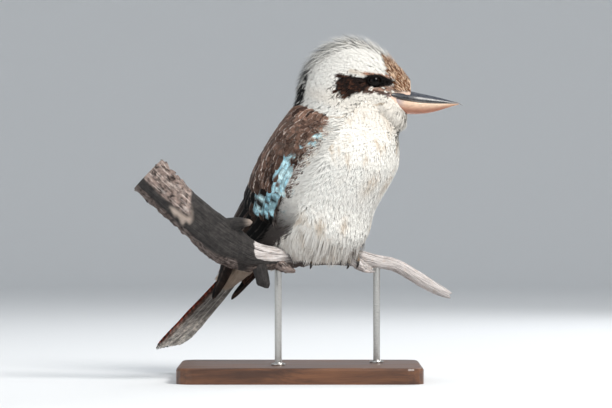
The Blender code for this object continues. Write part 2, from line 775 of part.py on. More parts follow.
def bill_solid(name, upper, grow=0.0):
    """One half of the bill, from the corner of the mouth to its tip, grown outwards by grow."""
    profile = [(-1, 0), (-0.97, 0.28), (-0.80, 0.58), (-0.48, 0.86), (-0.15, 1.0)]
    profile += [(-across, over) for across, over in profile[::-1]]
    sign = 1 if upper else -1
    rings = []
    for x, ridge, edge, keel, width in zip(BILL_X, BILL_RIDGE, BILL_EDGE, BILL_KEEL, BILL_WIDTH):
        depth = (ridge - edge if upper else edge - keel) - GAP / 2 + 2 * grow
        half = width * (1.0 if upper else LOWER_BILL_SHARE) + grow
        low = edge + sign * (GAP / 2 - grow)
        x = x - grow if not rings else x
        ring = [(x, across * half, low + sign * over * depth) for across, over in profile]
        rings.append(place(ring, HEAD_YAW))
    tip = UPPER_TIP if upper else LOWER_TIP
    return loft(name, rings, tip=place((tip[0] + grow, 0, tip[1]), HEAD_YAW))


def nostril_cutters():
    """The slit nostrils on either side of the upper bill's base."""
    x, y, z = NOSTRIL
    centres = [place((x, sign * y, z), HEAD_YAW) for sign in (1, -1)]
    return [ellipsoid("nostril", centre, NOSTRIL_RADII, 8, 6) for centre in centres]


def cheek_grooves():
    """The cutters of the mouth's lines and of the creases under them, on both cheeks."""
    made = []
    for side in FEET:
        for line in CHEEK_LINES:
            path = [np.array(cheek(side, x, z)[0]) for x, z in line]
            made.append(tube("groove", path, np.full(len(path), CHEEK_LINE_RADIUS), 6))
    return made


def make_head():
    """The head with its crest, lids and mouth line, then the two halves of the bill and the eyes."""
    head = body_length("head", HEAD_START, FACE, start_gap=GAP / 2)
    join(head, crest_vanes() + [lid_solid(side) for side in FEET])
    for upper in (True, False):
        cut(head, [bill_solid("bill_clearance", upper, GAP)])
    cut(head, cheek_grooves())
    cut(head, [eye_solid("socket", side, GAP) for side in FEET])
    dress(head, "white_coat")
    for side in FEET:
        dress(eye_solid(f"eye_{side}", side), "eye_dark")
    dress(cut(bill_solid("bill_upper", True), nostril_cutters()), "bill_black")
    dress(bill_solid("bill_lower", False), "bill_horn")


# Wings


@dataclass(frozen=True)
class Tier:
    """One row of wing feathers.

    root is where they start down the wing, from 0 at the shoulder to 1 at its tip, front and back are the
    shares of the wing's breadth that the row covers, and level is how high over the wing it lies.
    """

    name: str
    root: float
    front: float
    back: float
    count: int
    length: float
    level: float


WING_TIERS = [
    Tier("lesser_1", 0.015, 0.04, 0.96, 4, 32, 1.0),
    Tier("lesser_2", 0.09, 0.0, 1.0, 5, 33, 1.0),
    Tier("lesser_3", 0.17, 0.0, 1.0, 5, 35, 1.0),
    Tier("median", 0.255, 0.0, 1.0, 5, 40, 1.0),
    Tier("greater", 0.35, 0.0, 1.0, 5, 50, 1.0),
    Tier("secondary", 0.46, 0.1, 1.0, 5, 80, 0.5),
    Tier("primary", 0.56, 0.0, 0.62, 4, 96, 0.0),
]
VANE_THICKNESS, WING_CORE = 0.8, 1.4


def wing_uv(share, breadth, sign):
    """u and v on the wing's sheet for shares down its length and across its breadth from the front edge."""
    u = WING_TOP * (1 - np.asarray(share, float))
    front, back = spline(WING_FRONT, u), spline(WING_BACK, u)
    return u, sign * (front + (back - front) * breadth)


def wing_point(share, breadth, sign, height=0.0):
    """A point over the wing's sheet."""
    u, v = wing_uv(share, breadth, sign)
    out = WING_FORM.frame(u, v)[2]
    return WING_FORM.point(u, v) + out * np.asarray(height)[..., None]


WING_SPAN = float(
    np.linalg.norm(np.diff(wing_point(np.linspace(0, 1, 60), 0.5, 1), axis=0), axis=1).sum()
)


def wing_vane(tier, i, sign, rng):
    """One feather of a tier, which lies down the wing and tapers to a rounded tip."""
    step = (tier.back - tier.front) / tier.count
    breadth = tier.front + step * (i + 0.5)
    long = tier.length * rng.uniform(0.94, 1.06)
    if tier.name == "primary":
        long *= 1.06 - 0.5 * breadth
    if tier.name == "secondary":
        long *= 1.05 - 0.22 * abs(breadth - 0.5)
    end = min(tier.root + long / WING_SPAN, 0.995)
    shares = tier.root + (end - tier.root) * np.array([0, 0.45, 0.82, 1.0])
    heights = np.array([-1.8, 1.7, 2.6, 2.8]) * (0.8 + 0.2 * tier.level) + 0.25 * tier.level
    heights[0] = -1.8
    path = wing_point(shares, breadth, sign, heights)
    before = wing_point(shares, breadth - step / 2, sign, heights)
    after = wing_point(shares, breadth + step / 2, sign, heights)
    across = np.linalg.norm(after - before, axis=1)
    side = unit(after - before)
    out = tilted_out(path, side) * sign
    reference = WING_FORM.frame(*wing_uv(shares, breadth, sign))[2]
    out *= np.sign((out * reference).sum(1, keepdims=True))
    side = unit(side + out * 0.09)
    widths = np.maximum(across * 0.64, 3.0) * np.array([0.75, 1.0, 0.85, 0.28])
    return vane(path, side, tilted_out(path, side), widths, VANE_THICKNESS)


CORE_AROUND = 6


def wing_core(name, sign, grow=0.0):
    """The folded wing under its feathers: a shell that reaches into the body and is cut back from it."""
    shares = np.linspace(0.0, 0.94, 9)
    breadths = np.linspace(0, 1, CORE_AROUND)
    deep = np.interp(shares, (0, 0.5, 0.7, 0.94), (8, 7, 4.5, 2.2))
    rise = WING_CORE * np.sin(np.linspace(0.25, math.pi - 0.25, CORE_AROUND)) + grow
    rings = []
    for share, depth in zip(shares, deep):
        outer = wing_point(np.full(CORE_AROUND, share), breadths, sign, rise)
        under = np.full(CORE_AROUND, -depth - grow)
        inner = wing_point(np.full(CORE_AROUND, share), breadths[::-1], sign, under)
        rings.append(np.concatenate([outer, inner]))
    return loft(name, rings)


def body_clearance():
    """The body's form out to the neck, with a thin gap round it."""
    return body_length("body_clearance", 0, 9.9, grow=GAP + 0.1)


def make_wings():
    """Both folded wings, their feathers in tiers, cut clear of the body, the thighs and the perch."""
    for name, sign, side in (("wing_left", 1, "left"), ("wing_right", -1, "right")):
        rng = np.random.default_rng(7)
        wing = wing_core(name, sign)
        vanes = [wing_vane(tier, i, sign, rng) for tier in WING_TIERS for i in range(tier.count)]
        join(wing, vanes)
        thigh = thigh_solid("thigh_clearance", side, GAP)
        for cutter in (body_clearance(), thigh, perch_solid("perch_clearance", GAP)):
            cut(wing, [cutter])
        dress(wing, "brown_feather")


# Tail


def tail_frame():
    """(root, along, upwards) of the tail in the bird's own frame."""
    slope = math.radians(TAIL_SLOPE)
    along = np.array([-math.cos(slope), 0, -math.sin(slope)])
    over = np.array([-math.sin(slope), 0, math.cos(slope)])
    return np.array([TAIL_ROOT[0], 0, TAIL_ROOT[1]]), along, over


def tail_core(name, grow=0.0):
    """The tail's root with the bulk of its coverts, which the tail feathers leave through its flat end."""
    root, along, over = tail_frame()
    sizes = ((-1.5, 13, 8, 9), (16, 16, 6.5, 13), (44, 16.5, 3.4, 10.6))
    angles = np.radians(np.arange(12) * 30 + 15)
    rings = []
    for distance, wide, high, low in sizes:
        depth = np.where(np.cos(angles) > 0, high, low) + grow
        ring = [root + along * distance + over * d * np.cos(a) + np.array([0, (wide + grow) * np.sin(a), 0])
                for a, d in zip(angles, depth)]
        rings.append(place(np.array(ring), BODY_YAW))
    return loft(name, rings)


def tail_feathers():
    """The twelve tail feathers: the middle pair on top, each outer pair lower, shorter and further out."""
    root, along, over = tail_frame()
    left = np.array([0, 1.0, 0])
    made = []
    for layer in range(2 * TAIL_PAIRS):
        rank, sign = layer // 2, 1 - 2 * (layer % 2)
        long = TAIL_LENGTH - TAIL_SHORTER * rank
        distances = np.array([TAIL_FREE, 66, 110, 0.95 * long, long])
        spread = (distances - TAIL_FREE) / (long - TAIL_FREE)
        lateral = sign * (1.2 + 0.9 * rank + (0.8 + 1.0 * rank) * spread)
        height = 1.6 - TAIL_STEP * layer - 2.0 * spread * (1 - spread) - TAIL_ARCH * lateral**2
        path = root + np.outer(distances, along) + np.outer(lateral, left) + np.outer(height, over)
        side = left - np.outer(2 * TAIL_ARCH * lateral, over)
        path, side = place(path, BODY_YAW), place(side, BODY_YAW) - place((0, 0, 0), BODY_YAW)
        wide = TAIL_HALF_WIDTH * np.array([0.5, 0.8, 0.98, 0.85, 0.35])
        made.append(vane(path, side, tilted_out(path, side), wide, TAIL_VANE))
    return made


def tail_coverts():
    """The longest coverts over and under the tail's root."""
    root, along, over = tail_frame()
    rng = np.random.default_rng(9)
    made = []
    for face, count, high, reach, end in ((1, 4, 4.6, 44, 1.4), (-1, 4, 10.5, 40, 1.0)):
        for i in range(count):
            share = (i + 0.5) / count * 2 - 1
            start = rng.uniform(14, 18)
            long = reach * (1 - 0.25 * abs(share)) * rng.uniform(0.95, 1.05)
            distances = start + long * np.array([0, 0.35, 0.7, 1.0])
            fall = np.array([0.3, 0.8, 0.62, 0.42]) if face > 0 else np.array([0.5, 0.98, 0.82, 0.55])
            round_off = math.sqrt(1 - (0.75 * share) ** 2)
            lateral = share * np.array([10.5, 11.5, 10.5, 9.0])
            path = root + np.outer(distances, along) + np.outer(lateral, (0, 1.0, 0))
            path = path + np.outer(face * (high * fall * round_off + end), over)
            side = np.array([0, 1.0, 0]) - over * face * share * 0.5
            path = place(path, BODY_YAW)
            side = np.tile(place(side, BODY_YAW) - place((0, 0, 0), BODY_YAW), (4, 1))
            made.append(vane(path, side, tilted_out(path, side), (4.4, 5.6, 4.8, 1.2), 0.8))
    return made


def make_tail():
    """The tail, its feathers fused at the root, cut clear of the torso and the wings."""
    tail = join(tail_core("tail"), tail_feathers() + tail_coverts())
    cut(tail, [body_clearance()])
    for sign in (1, -1):
        cut(tail, [wing_core("wing_clearance", sign, 3.6)])
    dress(tail, "tail_feather")


def main():
    """Builds every part."""
    for obj in list(bpy.data.objects):
        bpy.data.objects.remove(obj)
    make_stand()
    make_perch()
    make_feet()
    make_legs()
    make_torso()
    make_neck()
    make_head()
    make_wings()
    make_tail()


main()
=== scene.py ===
"""The looks of a life-size laughing kookaburra on a cut length of branch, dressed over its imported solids.

Shapes are worked out in millimetres in the row's own frame, and become metres when a mesh is made. The bird is
described in its own frame first: x forward of the neck's axis, y to its left and z above the floor. Each part of it
is then turned about the neck's axis, the body by BODY_YAW and the head by HEAD_YAW.
"""

import logging
import math
from dataclasses import dataclass, field
from enum import Enum
from typing import Any, Callable, Optional, Sequence

import bpy
import numpy as np
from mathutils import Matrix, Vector
from mathutils.kdtree import KDTree


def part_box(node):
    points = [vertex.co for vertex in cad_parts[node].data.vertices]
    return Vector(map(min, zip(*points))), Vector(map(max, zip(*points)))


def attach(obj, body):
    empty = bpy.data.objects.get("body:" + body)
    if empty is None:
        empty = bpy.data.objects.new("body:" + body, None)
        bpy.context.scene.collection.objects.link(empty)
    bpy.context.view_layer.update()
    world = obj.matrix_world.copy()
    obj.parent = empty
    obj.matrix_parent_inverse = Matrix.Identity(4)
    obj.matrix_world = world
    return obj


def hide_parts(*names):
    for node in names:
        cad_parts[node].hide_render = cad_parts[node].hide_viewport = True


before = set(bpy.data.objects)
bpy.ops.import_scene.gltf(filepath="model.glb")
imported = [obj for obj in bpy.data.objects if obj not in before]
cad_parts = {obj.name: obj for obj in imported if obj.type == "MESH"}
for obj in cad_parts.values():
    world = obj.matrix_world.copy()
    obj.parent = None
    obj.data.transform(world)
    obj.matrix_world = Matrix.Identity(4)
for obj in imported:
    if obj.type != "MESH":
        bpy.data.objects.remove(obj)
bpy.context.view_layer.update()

log = logging.getLogger("kookaburra")

MM = 0.001
NECK_X, NECK_Y = 38.0, -14.0
BODY_YAW, HEAD_YAW = 36.0, 2.0
SIDES = {"right": -1, "left": 1}
# The u past which the body's form is the head, and how many sections the wing's form starts before it
HEAD_FROM, WING_START = 9.6, 2
# The highest that the hem lies ahead of the branch
HEM_AHEAD = 119.5
# Steps that spread places evenly over two ways at once
EVEN_STEPS = (0.7548776662, 0.5698402910)

Array = np.ndarray
Colour = tuple[float, float, float]
Socket = bpy.types.NodeSocket
# A colouring, which gives colours for u, v and a chance
Painter = Callable[[Array, Array, Array], Array]


class Slot(Enum):
    """The record's material slots."""

    COAT = "white_coat"
    BROWN = "brown_feather"
    TAIL = "tail_feather"
    BLACK_BILL = "bill_black"
    HORN_BILL = "bill_horn"
    EYE = "eye_dark"
    FOOT = "foot_skin"
    WOOD = "weathered_wood"
    BASE = "stand_wood"
    STEEL = "stand_steel"


def linear(red: float, green: float, blue: float) -> Colour:
    """A colour given as it shows on a screen, from 0 to 255, as the linear one that shaders take."""
    shares = [value / 255 for value in (red, green, blue)]
    return tuple(s / 12.92 if s <= 0.04045 else ((s + 0.055) / 1.055) ** 2.4 for s in shares)


class Tone(Enum):
    """The model's colours."""

    CREAM = linear(254, 251, 244)
    WARM = linear(240, 226, 208)
    BEIGE = linear(204, 182, 156)
    # TAUPE, a greyed cream for the vent, the thighs, the belly's loose strands and the tail's root and under coverts,
    # is partly their own colour and partly painted shade
    TAUPE = linear(176, 160, 144)
    GREY = linear(96, 90, 88)
    STRIPE = linear(30, 20, 17)
    CHESTNUT = linear(76, 48, 36)
    LORE = linear(14, 10, 9)
    GINGER = linear(156, 94, 52)
    UMBER = linear(96, 64, 46)
    PEACH = linear(234, 202, 172)
    NAPE = linear(12, 10, 10)
    TIP = linear(50, 40, 38)
    BROWN = linear(158, 124, 107)
    DARK = linear(72, 52, 44)
    BLACK = linear(5, 4, 4)
    EDGE = linear(232, 214, 202)
    BLUE = linear(214, 246, 250)
    DEEP_BLUE = linear(150, 206, 224)
    RUFOUS = linear(200, 88, 46)
    PALE = linear(196, 188, 178)
    BILL_BLACK = linear(30, 31, 36)
    BILL_SHEEN = linear(74, 80, 92)
    BILL_EDGE_HIGHLIGHT = linear(150, 140, 132)
    BILL_TIP = linear(120, 104, 92)
    BILL_CREAM = linear(224, 196, 170)
    BILL_KEEL = linear(158, 98, 70)
    BILL_LILAC = linear(150, 140, 152)
    BILL_END = linear(196, 148, 114)
    NOSTRIL_SHADE = linear(8, 7, 8)
    GAPE = linear(226, 196, 176)
    FOLD = linear(120, 96, 94)
    FOLD_END = linear(40, 32, 32)
    PUPIL = linear(3, 2, 2)
    IRIS_RAY = linear(20, 11, 8)
    IRIS = linear(8, 5, 4)
    EYE_RIM = linear(8, 6, 5)
    FOOT = linear(120, 104, 88)
    SCUTE = linear(134, 116, 98)
    CLAW = linear(34, 29, 27)
    SILVER_DIM = linear(166, 155, 151)
    SILVER = linear(246, 241, 239)
    STAIN = linear(190, 164, 140)
    CRACK = linear(58, 48, 44)
    SMOOTH_DIM = linear(27, 24, 24)
    SMOOTH = linear(58, 54, 52)
    SMOOTH_GRAIN = linear(86, 81, 78)
    SMOOTH_CRACK = linear(18, 15, 15)
    BARK_DIM = linear(40, 30, 27)
    BARK = linear(142, 124, 116)
    BARK_GRAIN = linear(226, 212, 204)
    BARK_PALE_AND_LIT = linear(178, 162, 150)
    SAWN = linear(196, 166, 128)
    SAWN_RING = linear(150, 112, 78)
    SAWN_EDGE = linear(62, 44, 34)
    SHADED = linear(26, 18, 16)
    TIMBER_DIM = linear(66, 40, 26)
    TIMBER = linear(118, 76, 48)
    PORE = linear(40, 24, 16)
    STEEL_DIM = linear(186, 184, 180)
    STEEL = linear(214, 212, 208)
    PAPER = linear(226, 228, 230)


# Numbers and frames


def spline(values: Any, u: Any) -> Array:
    """A smooth curve through evenly numbered values, read at u.

    Args:
        values: One number or point for each whole u.
        u: Where to read the curve, of any shape.

    Returns:
        The values at u, with u's shape first.
    """
    values = np.asarray(values, float)
    u = np.clip(np.asarray(u, float), 0, len(values) - 1)
    low = np.minimum(u.astype(int), len(values) - 2)
    t = (u - low).reshape(u.shape + (1,) * (values.ndim - 1))
    before, after = np.maximum(low - 1, 0), np.minimum(low + 2, len(values) - 1)
    a, b, c, d = values[before], values[low], values[low + 1], values[after]
    return b + 0.5 * t * (c - a + t * (2 * a - 5 * b + 4 * c - d + t * (3 * (b - c) + d - a)))


def unit(vectors: Any) -> Array:
    """Vectors made one long."""
    vectors = np.asarray(vectors, float)
    return vectors / np.maximum(np.linalg.norm(vectors, axis=-1, keepdims=True), 1e-9)


def place(points: Any, yaw: Any) -> Array:
    """Puts points where the bird stands.

    Args:
        points: Points of the bird's own frame.
        yaw: How far they turn about the neck's axis, in degrees, in all or each.

    Returns:
        The points in the row's frame.
    """
    points, angle = np.asarray(points, float), np.radians(yaw)
    x = points[..., 0] * np.cos(angle) + points[..., 1] * np.sin(angle)
    y = -points[..., 0] * np.sin(angle) + points[..., 1] * np.cos(angle)
    return np.stack([x + NECK_X, y + NECK_Y, points[..., 2]], -1)


def turned(vector: Any, yaw: float) -> Array:
    """A direction of the bird's own frame, turned as place turns points."""
    return place(vector, yaw) - place((0, 0, 0), yaw)


def ease(low: float, high: float, value: Any) -> Array:
    """0 up to low, 1 from high, and smooth between them."""
    t = np.clip((np.asarray(value, float) - low) / (high - low), 0, 1)
    return t * t * (3 - 2 * t)


def rgb(colour: Any) -> Array:
    """A tone, or colours, as numbers."""
    return np.asarray(colour.value if isinstance(colour, Tone) else colour, float)


def blend(a: Any, b: Any, share: Any) -> Array:
    """Tones or colours a and b mixed by share, which has one number for each colour."""
    share = np.asarray(share, float)[..., None]
    return rgb(a) * (1 - share) + rgb(b) * share


def filled(shape: Sequence[int], tone: Tone) -> Array:
    """One tone for each point of a shape."""
    return np.ones(tuple(shape) + (3,)) * rgb(tone)


def to_line(x: Array, z: Array, start: Sequence[float], end: Sequence[float]) -> tuple[Array, Array]:
    """(share along it, distance) of points to the straight line between two places on the side of the head."""
    (ax, az), (bx, bz) = start, end
    t = np.clip(((x - ax) * (bx - ax) + (z - az) * (bz - az)) / ((bx - ax) ** 2 + (bz - az) ** 2), 0, 1)
    return t, np.hypot(x - ax - t * (bx - ax), z - az - t * (bz - az))


def stroke(x: Array, z: Array, start: tuple, end: tuple, soft: float = 1.6) -> Array:
    """How far points lie in a tapered stroke on the side of the head.

    Args:
        x: Places along the head.
        z: Heights.
        start: The stroke's first place, height and half width.
        end: Its last ones.
        soft: The width over which its edge fades.

    Returns:
        1 well inside the stroke and 0 outside it.
    """
    t, away = to_line(x, z, start[:2], end[:2])
    return 1 - ease(-soft / 2, soft / 2, away - (start[2] + t * (end[2] - start[2])))


def patch(x: Array, z: Array, outline: Sequence[tuple[float, float]], soft: float = 1.6) -> Array:
    """How far points lie in a patch on the side of the head or the wing.

    Args:
        x: Places along the head, or across the wing.
        z: Heights.
        outline: The patch's corners in order.
        soft: The width over which its edge fades.

    Returns:
        1 well inside the patch and 0 outside it.
    """
    inside, away = np.zeros(x.shape, bool), np.full(x.shape, np.inf)
    for (ax, az), (bx, bz) in zip(outline, [*outline[1:], outline[0]]):
        away = np.minimum(away, to_line(x, z, (ax, az), (bx, bz))[1])
        crosses = (az > z) != (bz > z)
        inside ^= crosses & (x < ax + (z - az) * (bx - ax) / (bz - az if bz != az else 1))
    return ease(-soft / 2, soft / 2, np.where(inside, away, -away))


@dataclass(frozen=True)
class Section:
    """One cross-section of the bird: its points on the back and belly side, half its width, and its turn."""

    name: str
    dorsal: tuple[float, float]
    ventral: tuple[float, float]
    half_width: float
    yaw: float


BODY = [
    Section("tail_root", (-122, 133), (-106, 120), 14, BODY_YAW),
    Section("rump", (-118, 148), (-82, 117), 28, BODY_YAW),
    Section("vent", (-111, 165), (-48, 116), 41, BODY_YAW),
    Section("belly_low", (-103, 183), (-2, 126), 50, BODY_YAW),
    Section("belly", (-93, 201), (24, 141), 55, BODY_YAW),
    Section("breast_low", (-82, 219), (33, 168), 59, BODY_YAW),
    Section("breast", (-69, 238), (58, 206), 60, BODY_YAW),
    Section("shoulder", (-56, 255), (62, 230), 54, 33),
    Section("neck_base", (-48, 268), (59, 242), 44, 25),
    Section("neck", (-42, 280), (57, 248), 37, 14),
    Section("nape", (-36, 300), (58, 251), 35, 5),
    Section("hindcrown", (-23, 321), (60.5, 253), 35.5, HEAD_YAW),
    Section("crown", (2, 337), (66, 256), 34, HEAD_YAW),
    Section("forecrown", (31, 335), (69, 262), 26, HEAD_YAW),
    Section("forehead", (55, 319), (71, 267), 18.8, HEAD_YAW),
    Section("face", (69, 305), (72, 269.5), 15, HEAD_YAW),
    Section("bill_base", (73.5, 298), (74.5, 272), 12.8, HEAD_YAW),
]
WING = [
    Section("tip", (-157, 87), (-139, 71), 15, BODY_YAW),
    Section("beside_tail", (-141, 112), (-117, 92), 23, BODY_YAW),
    Section("tail_root", (-129, 132), (-100, 108), 32, BODY_YAW),
    Section("rump", (-122, 149), (-80, 113), 41, BODY_YAW),
    Section("vent", (-114, 166), (-48, 114), 49, BODY_YAW),
    Section("belly_low", (-105, 184), (-2, 124), 55, BODY_YAW),
    Section("belly", (-95, 202), (24, 140), 59, BODY_YAW),
    Section("breast_low", (-84, 220), (33, 168), 62, BODY_YAW),
    Section("breast", (-71, 239), (58, 206), 62, BODY_YAW),
    Section("shoulder", (-58, 256), (62, 230), 56, 33),
    Section("neck_base", (-50, 269), (57, 243), 46, 25),
    Section("neck", (-45, 281), (53, 252), 42, 18),
]
WING_FRONT = [98, 104, 108, 114, 118, 112, 104, 104, 103, 105, 104, 96]
WING_BACK = [82, 66, 50, 38, 30, 25, 21, 20, 22, 28, 36, 44]
WING_TOP = 10.4


class Form:
    """A surface lofted through sections. u counts the sections and v is the angle from the back, in degrees."""

    # Steps of u and v over which directions and lengths are measured, and how far outwards leans to the spoke
    NEAR, STRIDE, SPOKE = (0.03, 1.5), (0.1, 2.0), 0.25

    def __init__(self, sections: Sequence[Section]) -> None:
        self.dorsal = [s.dorsal for s in sections]
        self.ventral = [s.ventral for s in sections]
        self.half_width = [s.half_width for s in sections]
        self.yaw = [s.yaw for s in sections]

    def local(self, u: Any, v: Any) -> Array:
        """Works out points in the bird's own frame.

        Args:
            u: Places along the form. Below 0 they go straight on past the first section.
            v: Angles round it.

        Returns:
            The points, with the shape of u and v first.
        """
        u, v = np.broadcast_arrays(np.asarray(u, float), np.asarray(v, float))
        dorsal, ventral = spline(self.dorsal, u), spline(self.ventral, u)
        middle, reach = (dorsal + ventral) / 2, (dorsal - ventral) / 2
        flat = middle + reach * np.cos(np.radians(v))[..., None]
        side = spline(self.half_width, u) * np.sin(np.radians(v))
        found = np.stack([flat[..., 0], side, flat[..., 1]], -1)
        if np.any(u < 0):
            step = self.STRIDE[0]
            slope = (self.local(np.full(u.shape, step), v) - self.local(np.zeros(u.shape), v)) / step
            found = found + np.minimum(u, 0)[..., None] * slope
        return found

    def point(self, u: Any, v: Any) -> Array:
        """Points in the row's frame."""
        return place(self.local(u, v), spline(self.yaw, u))

    def frame(self, u: Any, v: Any) -> tuple[Array, Array, Array]:
        """Works out directions on the form.

        Args:
            u: Places along it.
            v: Angles round it.

        Returns:
            Unit vectors towards the head, round to the left, and outwards.
        """
        du, dv = self.NEAR
        along = unit(self.point(u + du, v) - self.point(u - du, v))
        around = unit(self.point(u, v + dv) - self.point(u, v - dv))
        spoke = unit(self.point(u, v) - self.point(u, np.asarray(v, float) + 180))
        out = np.cross(along, around)
        out = out * np.sign((out * spoke).sum(-1, keepdims=True))
        return along, around, unit(unit(out) + self.SPOKE * spoke)

    def out(self, u: Any, v: Any) -> Array:
        """The direction outwards."""
        return self.frame(u, v)[2]

    def strides(self, u: Array, v: Array) -> tuple[Array, Array]:
        """How far one step of u, and one degree of v, goes on the surface."""
        du, dv = self.STRIDE
        along = np.linalg.norm(self.point(u + du, v) - self.point(u - du, v), axis=-1) / (2 * du)
        around = np.linalg.norm(self.point(u, v + dv) - self.point(u, v - dv), axis=-1) / (2 * dv)
        return np.maximum(along, 2.0), np.maximum(around, 0.05)

    def locate(self, x: float, z: float, side: int, low: float) -> tuple[Array, Array]:
        """Finds a place on the surface.

        Args:
            x: Its place along the bird's own frame.
            z: Its height.
            side: The side that it is on, 1 for the left and -1 for the right.
            low: The lowest u that is looked at.

        Returns:
            Its u and v.
        """
        u, v = np.meshgrid(np.linspace(low, len(self.yaw) - 1, 320), np.linspace(2, 178, 177), indexing="ij")
        found = self.local(u, v)
        best = np.hypot(found[..., 0] - x, found[..., 2] - z).argmin()
        return np.array(u.flat[best]), np.array(v.flat[best] * side)


class Thigh(Form):
    """The feathered thigh of one side. u runs from its foot to its top, and v round it."""

    CENTRE, RADII, TILT = (-27.0, 32.0, 149.0), (24.0, 18.5, 26.0), -12.0
    TOP = 9.0

    def __init__(self, side: int) -> None:
        self.side = side
        self.yaw = [BODY_YAW, BODY_YAW]

    def local(self, u: Any, v: Any) -> Array:
        """Points of the thigh in the bird's own frame."""
        u, v = np.broadcast_arrays(np.asarray(u, float), np.asarray(v, float))
        polar, turn = math.pi * (1 - np.clip(u, 0, self.TOP) / self.TOP), -np.radians(v)
        x = self.RADII[0] * np.sin(polar) * np.cos(turn)
        y = self.RADII[1] * np.sin(polar) * np.sin(turn)
        z = self.RADII[2] * np.cos(polar) + np.minimum(u, 0) * 10
        lean = math.radians(self.TILT)
        x, z = x * math.cos(lean) + z * math.sin(lean), -x * math.sin(lean) + z * math.cos(lean)
        return np.stack([x, y, z], -1) + np.array([1, self.side, 1]) * self.CENTRE


# The smooth sheet that the throat's feathers follow from the breast to the chin
BIB = [
    Section("breast_low", (-82, 219), (34, 168), 60, BODY_YAW),
    Section("breast", (-69, 238), (58.6, 206), 60.6, BODY_YAW),
    Section("shoulder", (-56, 255), (63.4, 230), 55, 33),
    Section("neck", (-40, 285), (61.6, 245), 40, 16),
    Section("hindcrown", (-23, 321), (63, 252.6), 36, HEAD_YAW),
    Section("crown", (2, 337), (66.6, 255.8), 34.4, HEAD_YAW),
]
BODY_FORM, WING_FORM, BIB_FORM = Form(BODY), Form(WING), Form(BIB)


# Meshes


@dataclass
class Shell:
    """Closed surfaces in millimetres that are gathered here before they become one object."""

    points: list[Array] = field(default_factory=list)
    faces: list[Array] = field(default_factory=list)
    values: dict[str, list[Array]] = field(default_factory=dict)
    size: int = 0

    def add(self, points: Array, faces: Array, **values: Array) -> None:
        """Adds one surface.

        Args:
            points: Its vertices.
            faces: Its triangles, or its faces of four corners, as vertex numbers.
            values: Named values of each vertex: Tint and Grain with three numbers, those that start with Map_
                with two, and others with one. Facing is the way that its light is worked out from.
        """
        points = np.asarray(points, float).reshape(-1, 3)
        self.points.append(points)
        self.faces.append(np.asarray(faces, int) + self.size)
        for name, value in values.items():
            self.values.setdefault(name, []).append(np.asarray(value, float).reshape(len(points), -1))
        self.size += len(points)

    def mesh(self, name: str) -> bpy.types.Mesh:
        """The gathered surfaces as one smooth mesh in metres."""
        made = bpy.data.meshes.new(name)
        points = np.concatenate(self.points) * MM
        made.vertices.add(len(points))
        made.vertices.foreach_set("co", points.astype(np.float32).ravel())
        sizes = np.concatenate([np.full(len(f), f.shape[1]) for f in self.faces])
        corners = np.concatenate([f.ravel() for f in self.faces])
        made.loops.add(len(corners))
        made.polygons.add(len(sizes))
        made.loops.foreach_set("vertex_index", corners.astype(np.int32))
        starts = np.concatenate([[0], np.cumsum(sizes)[:-1]])
        made.polygons.foreach_set("loop_start", starts.astype(np.int32))
        made.update(calc_edges=True)
        made.validate()
        made.shade_smooth()
        for key, parts in self.values.items():
            if key == "Facing":
                made.normals_split_custom_set_from_vertices(unit(np.concatenate(parts)).tolist())
            else:
                self.store(made, key, np.concatenate(parts), corners)
        return made

    @staticmethod
    def store(made: bpy.types.Mesh, key: str, value: Array, corners: Array) -> None:
        """Keeps one named value on a mesh.

        Args:
            made: The mesh.
            key: Its name. Tint is a colour, and a name that starts with Map_ is a UV map.
            value: Its value at each vertex.
            corners: The vertex at each corner of a face, which a UV map needs.
        """
        if key.startswith("Map_"):
            value, layer, kind = value[corners], made.uv_layers.new(name=key[4:]).uv, "vector"
        elif key == "Tint":
            value = np.concatenate([value, np.ones((len(value), 1))], 1)
            layer, kind = made.color_attributes.new(key, "FLOAT_COLOR", "POINT").data, "color"
        elif value.shape[1] == 3:
            layer, kind = made.attributes.new(key, "FLOAT_VECTOR", "POINT").data, "vector"
        else:
            layer, kind = made.attributes.new(key, "FLOAT", "POINT").data, "value"
        layer.foreach_set(kind, value.astype(np.float32).ravel())


def evaluated(carrier: bpy.types.Object) -> bpy.types.Mesh:
    """What an object's modifiers make of its mesh, as a plain mesh. The object is used up."""
    bpy.context.scene.collection.objects.link(carrier)
    bpy.context.view_layer.update()
    made = bpy.data.meshes.new_from_object(carrier.evaluated_get(bpy.context.evaluated_depsgraph_get()))
    bpy.data.objects.remove(carrier)
    return made


def show(name: str, mesh: bpy.types.Mesh, finish: "Finish", stands_for: Sequence[str] = ()) -> bpy.types.Object:
    """Makes a piece of the model from a mesh.

    Args:
        name: The piece's name.
        mesh: Its mesh, in place.
        finish: What it is made of.
        stands_for: The solids that it stands for.

    Returns:
        The piece, which rides on the model's one body.
    """
    mesh.materials.clear()
    mesh.materials.append(finish.material())
    made = bpy.data.objects.new(name, mesh)
    bpy.context.scene.collection.objects.link(made)
    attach(made, "root")
    if stands_for:
        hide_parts(*stands_for)
    log.info("%s, made of %s", name, finish.name)
    return made


def ring_faces(rings: int, around: int, closed: bool = True) -> Array:
    """The four-cornered faces between rings of vertices that are numbered one after another."""
    i, j = np.meshgrid(np.arange(rings - 1), np.arange(around if closed else around - 1), indexing="ij")
    near, far, k = i * around, (i + 1) * around, (j + 1) % around
    return np.stack([near + j, near + k, far + k, far + j], -1).reshape(-1, 4)


def closed_faces(rings: int, around: int) -> Array:
    """The faces of a loop of rings, whose last one joins the first."""
    last = ring_faces(2, around) % around + np.array([[1, 1, 0, 0]]) * (rings - 1) * around
    return np.concatenate([ring_faces(rings, around), last])


def turns(count: int) -> Array:
    """Even angles round a whole turn, in radians."""
    return np.arange(count) * 2 * math.pi / count


def grid(u: Array, v: Array) -> tuple[Array, Array]:
    """Every pair of u and v, with u along the first axis."""
    return tuple(np.meshgrid(u, v, indexing="ij"))


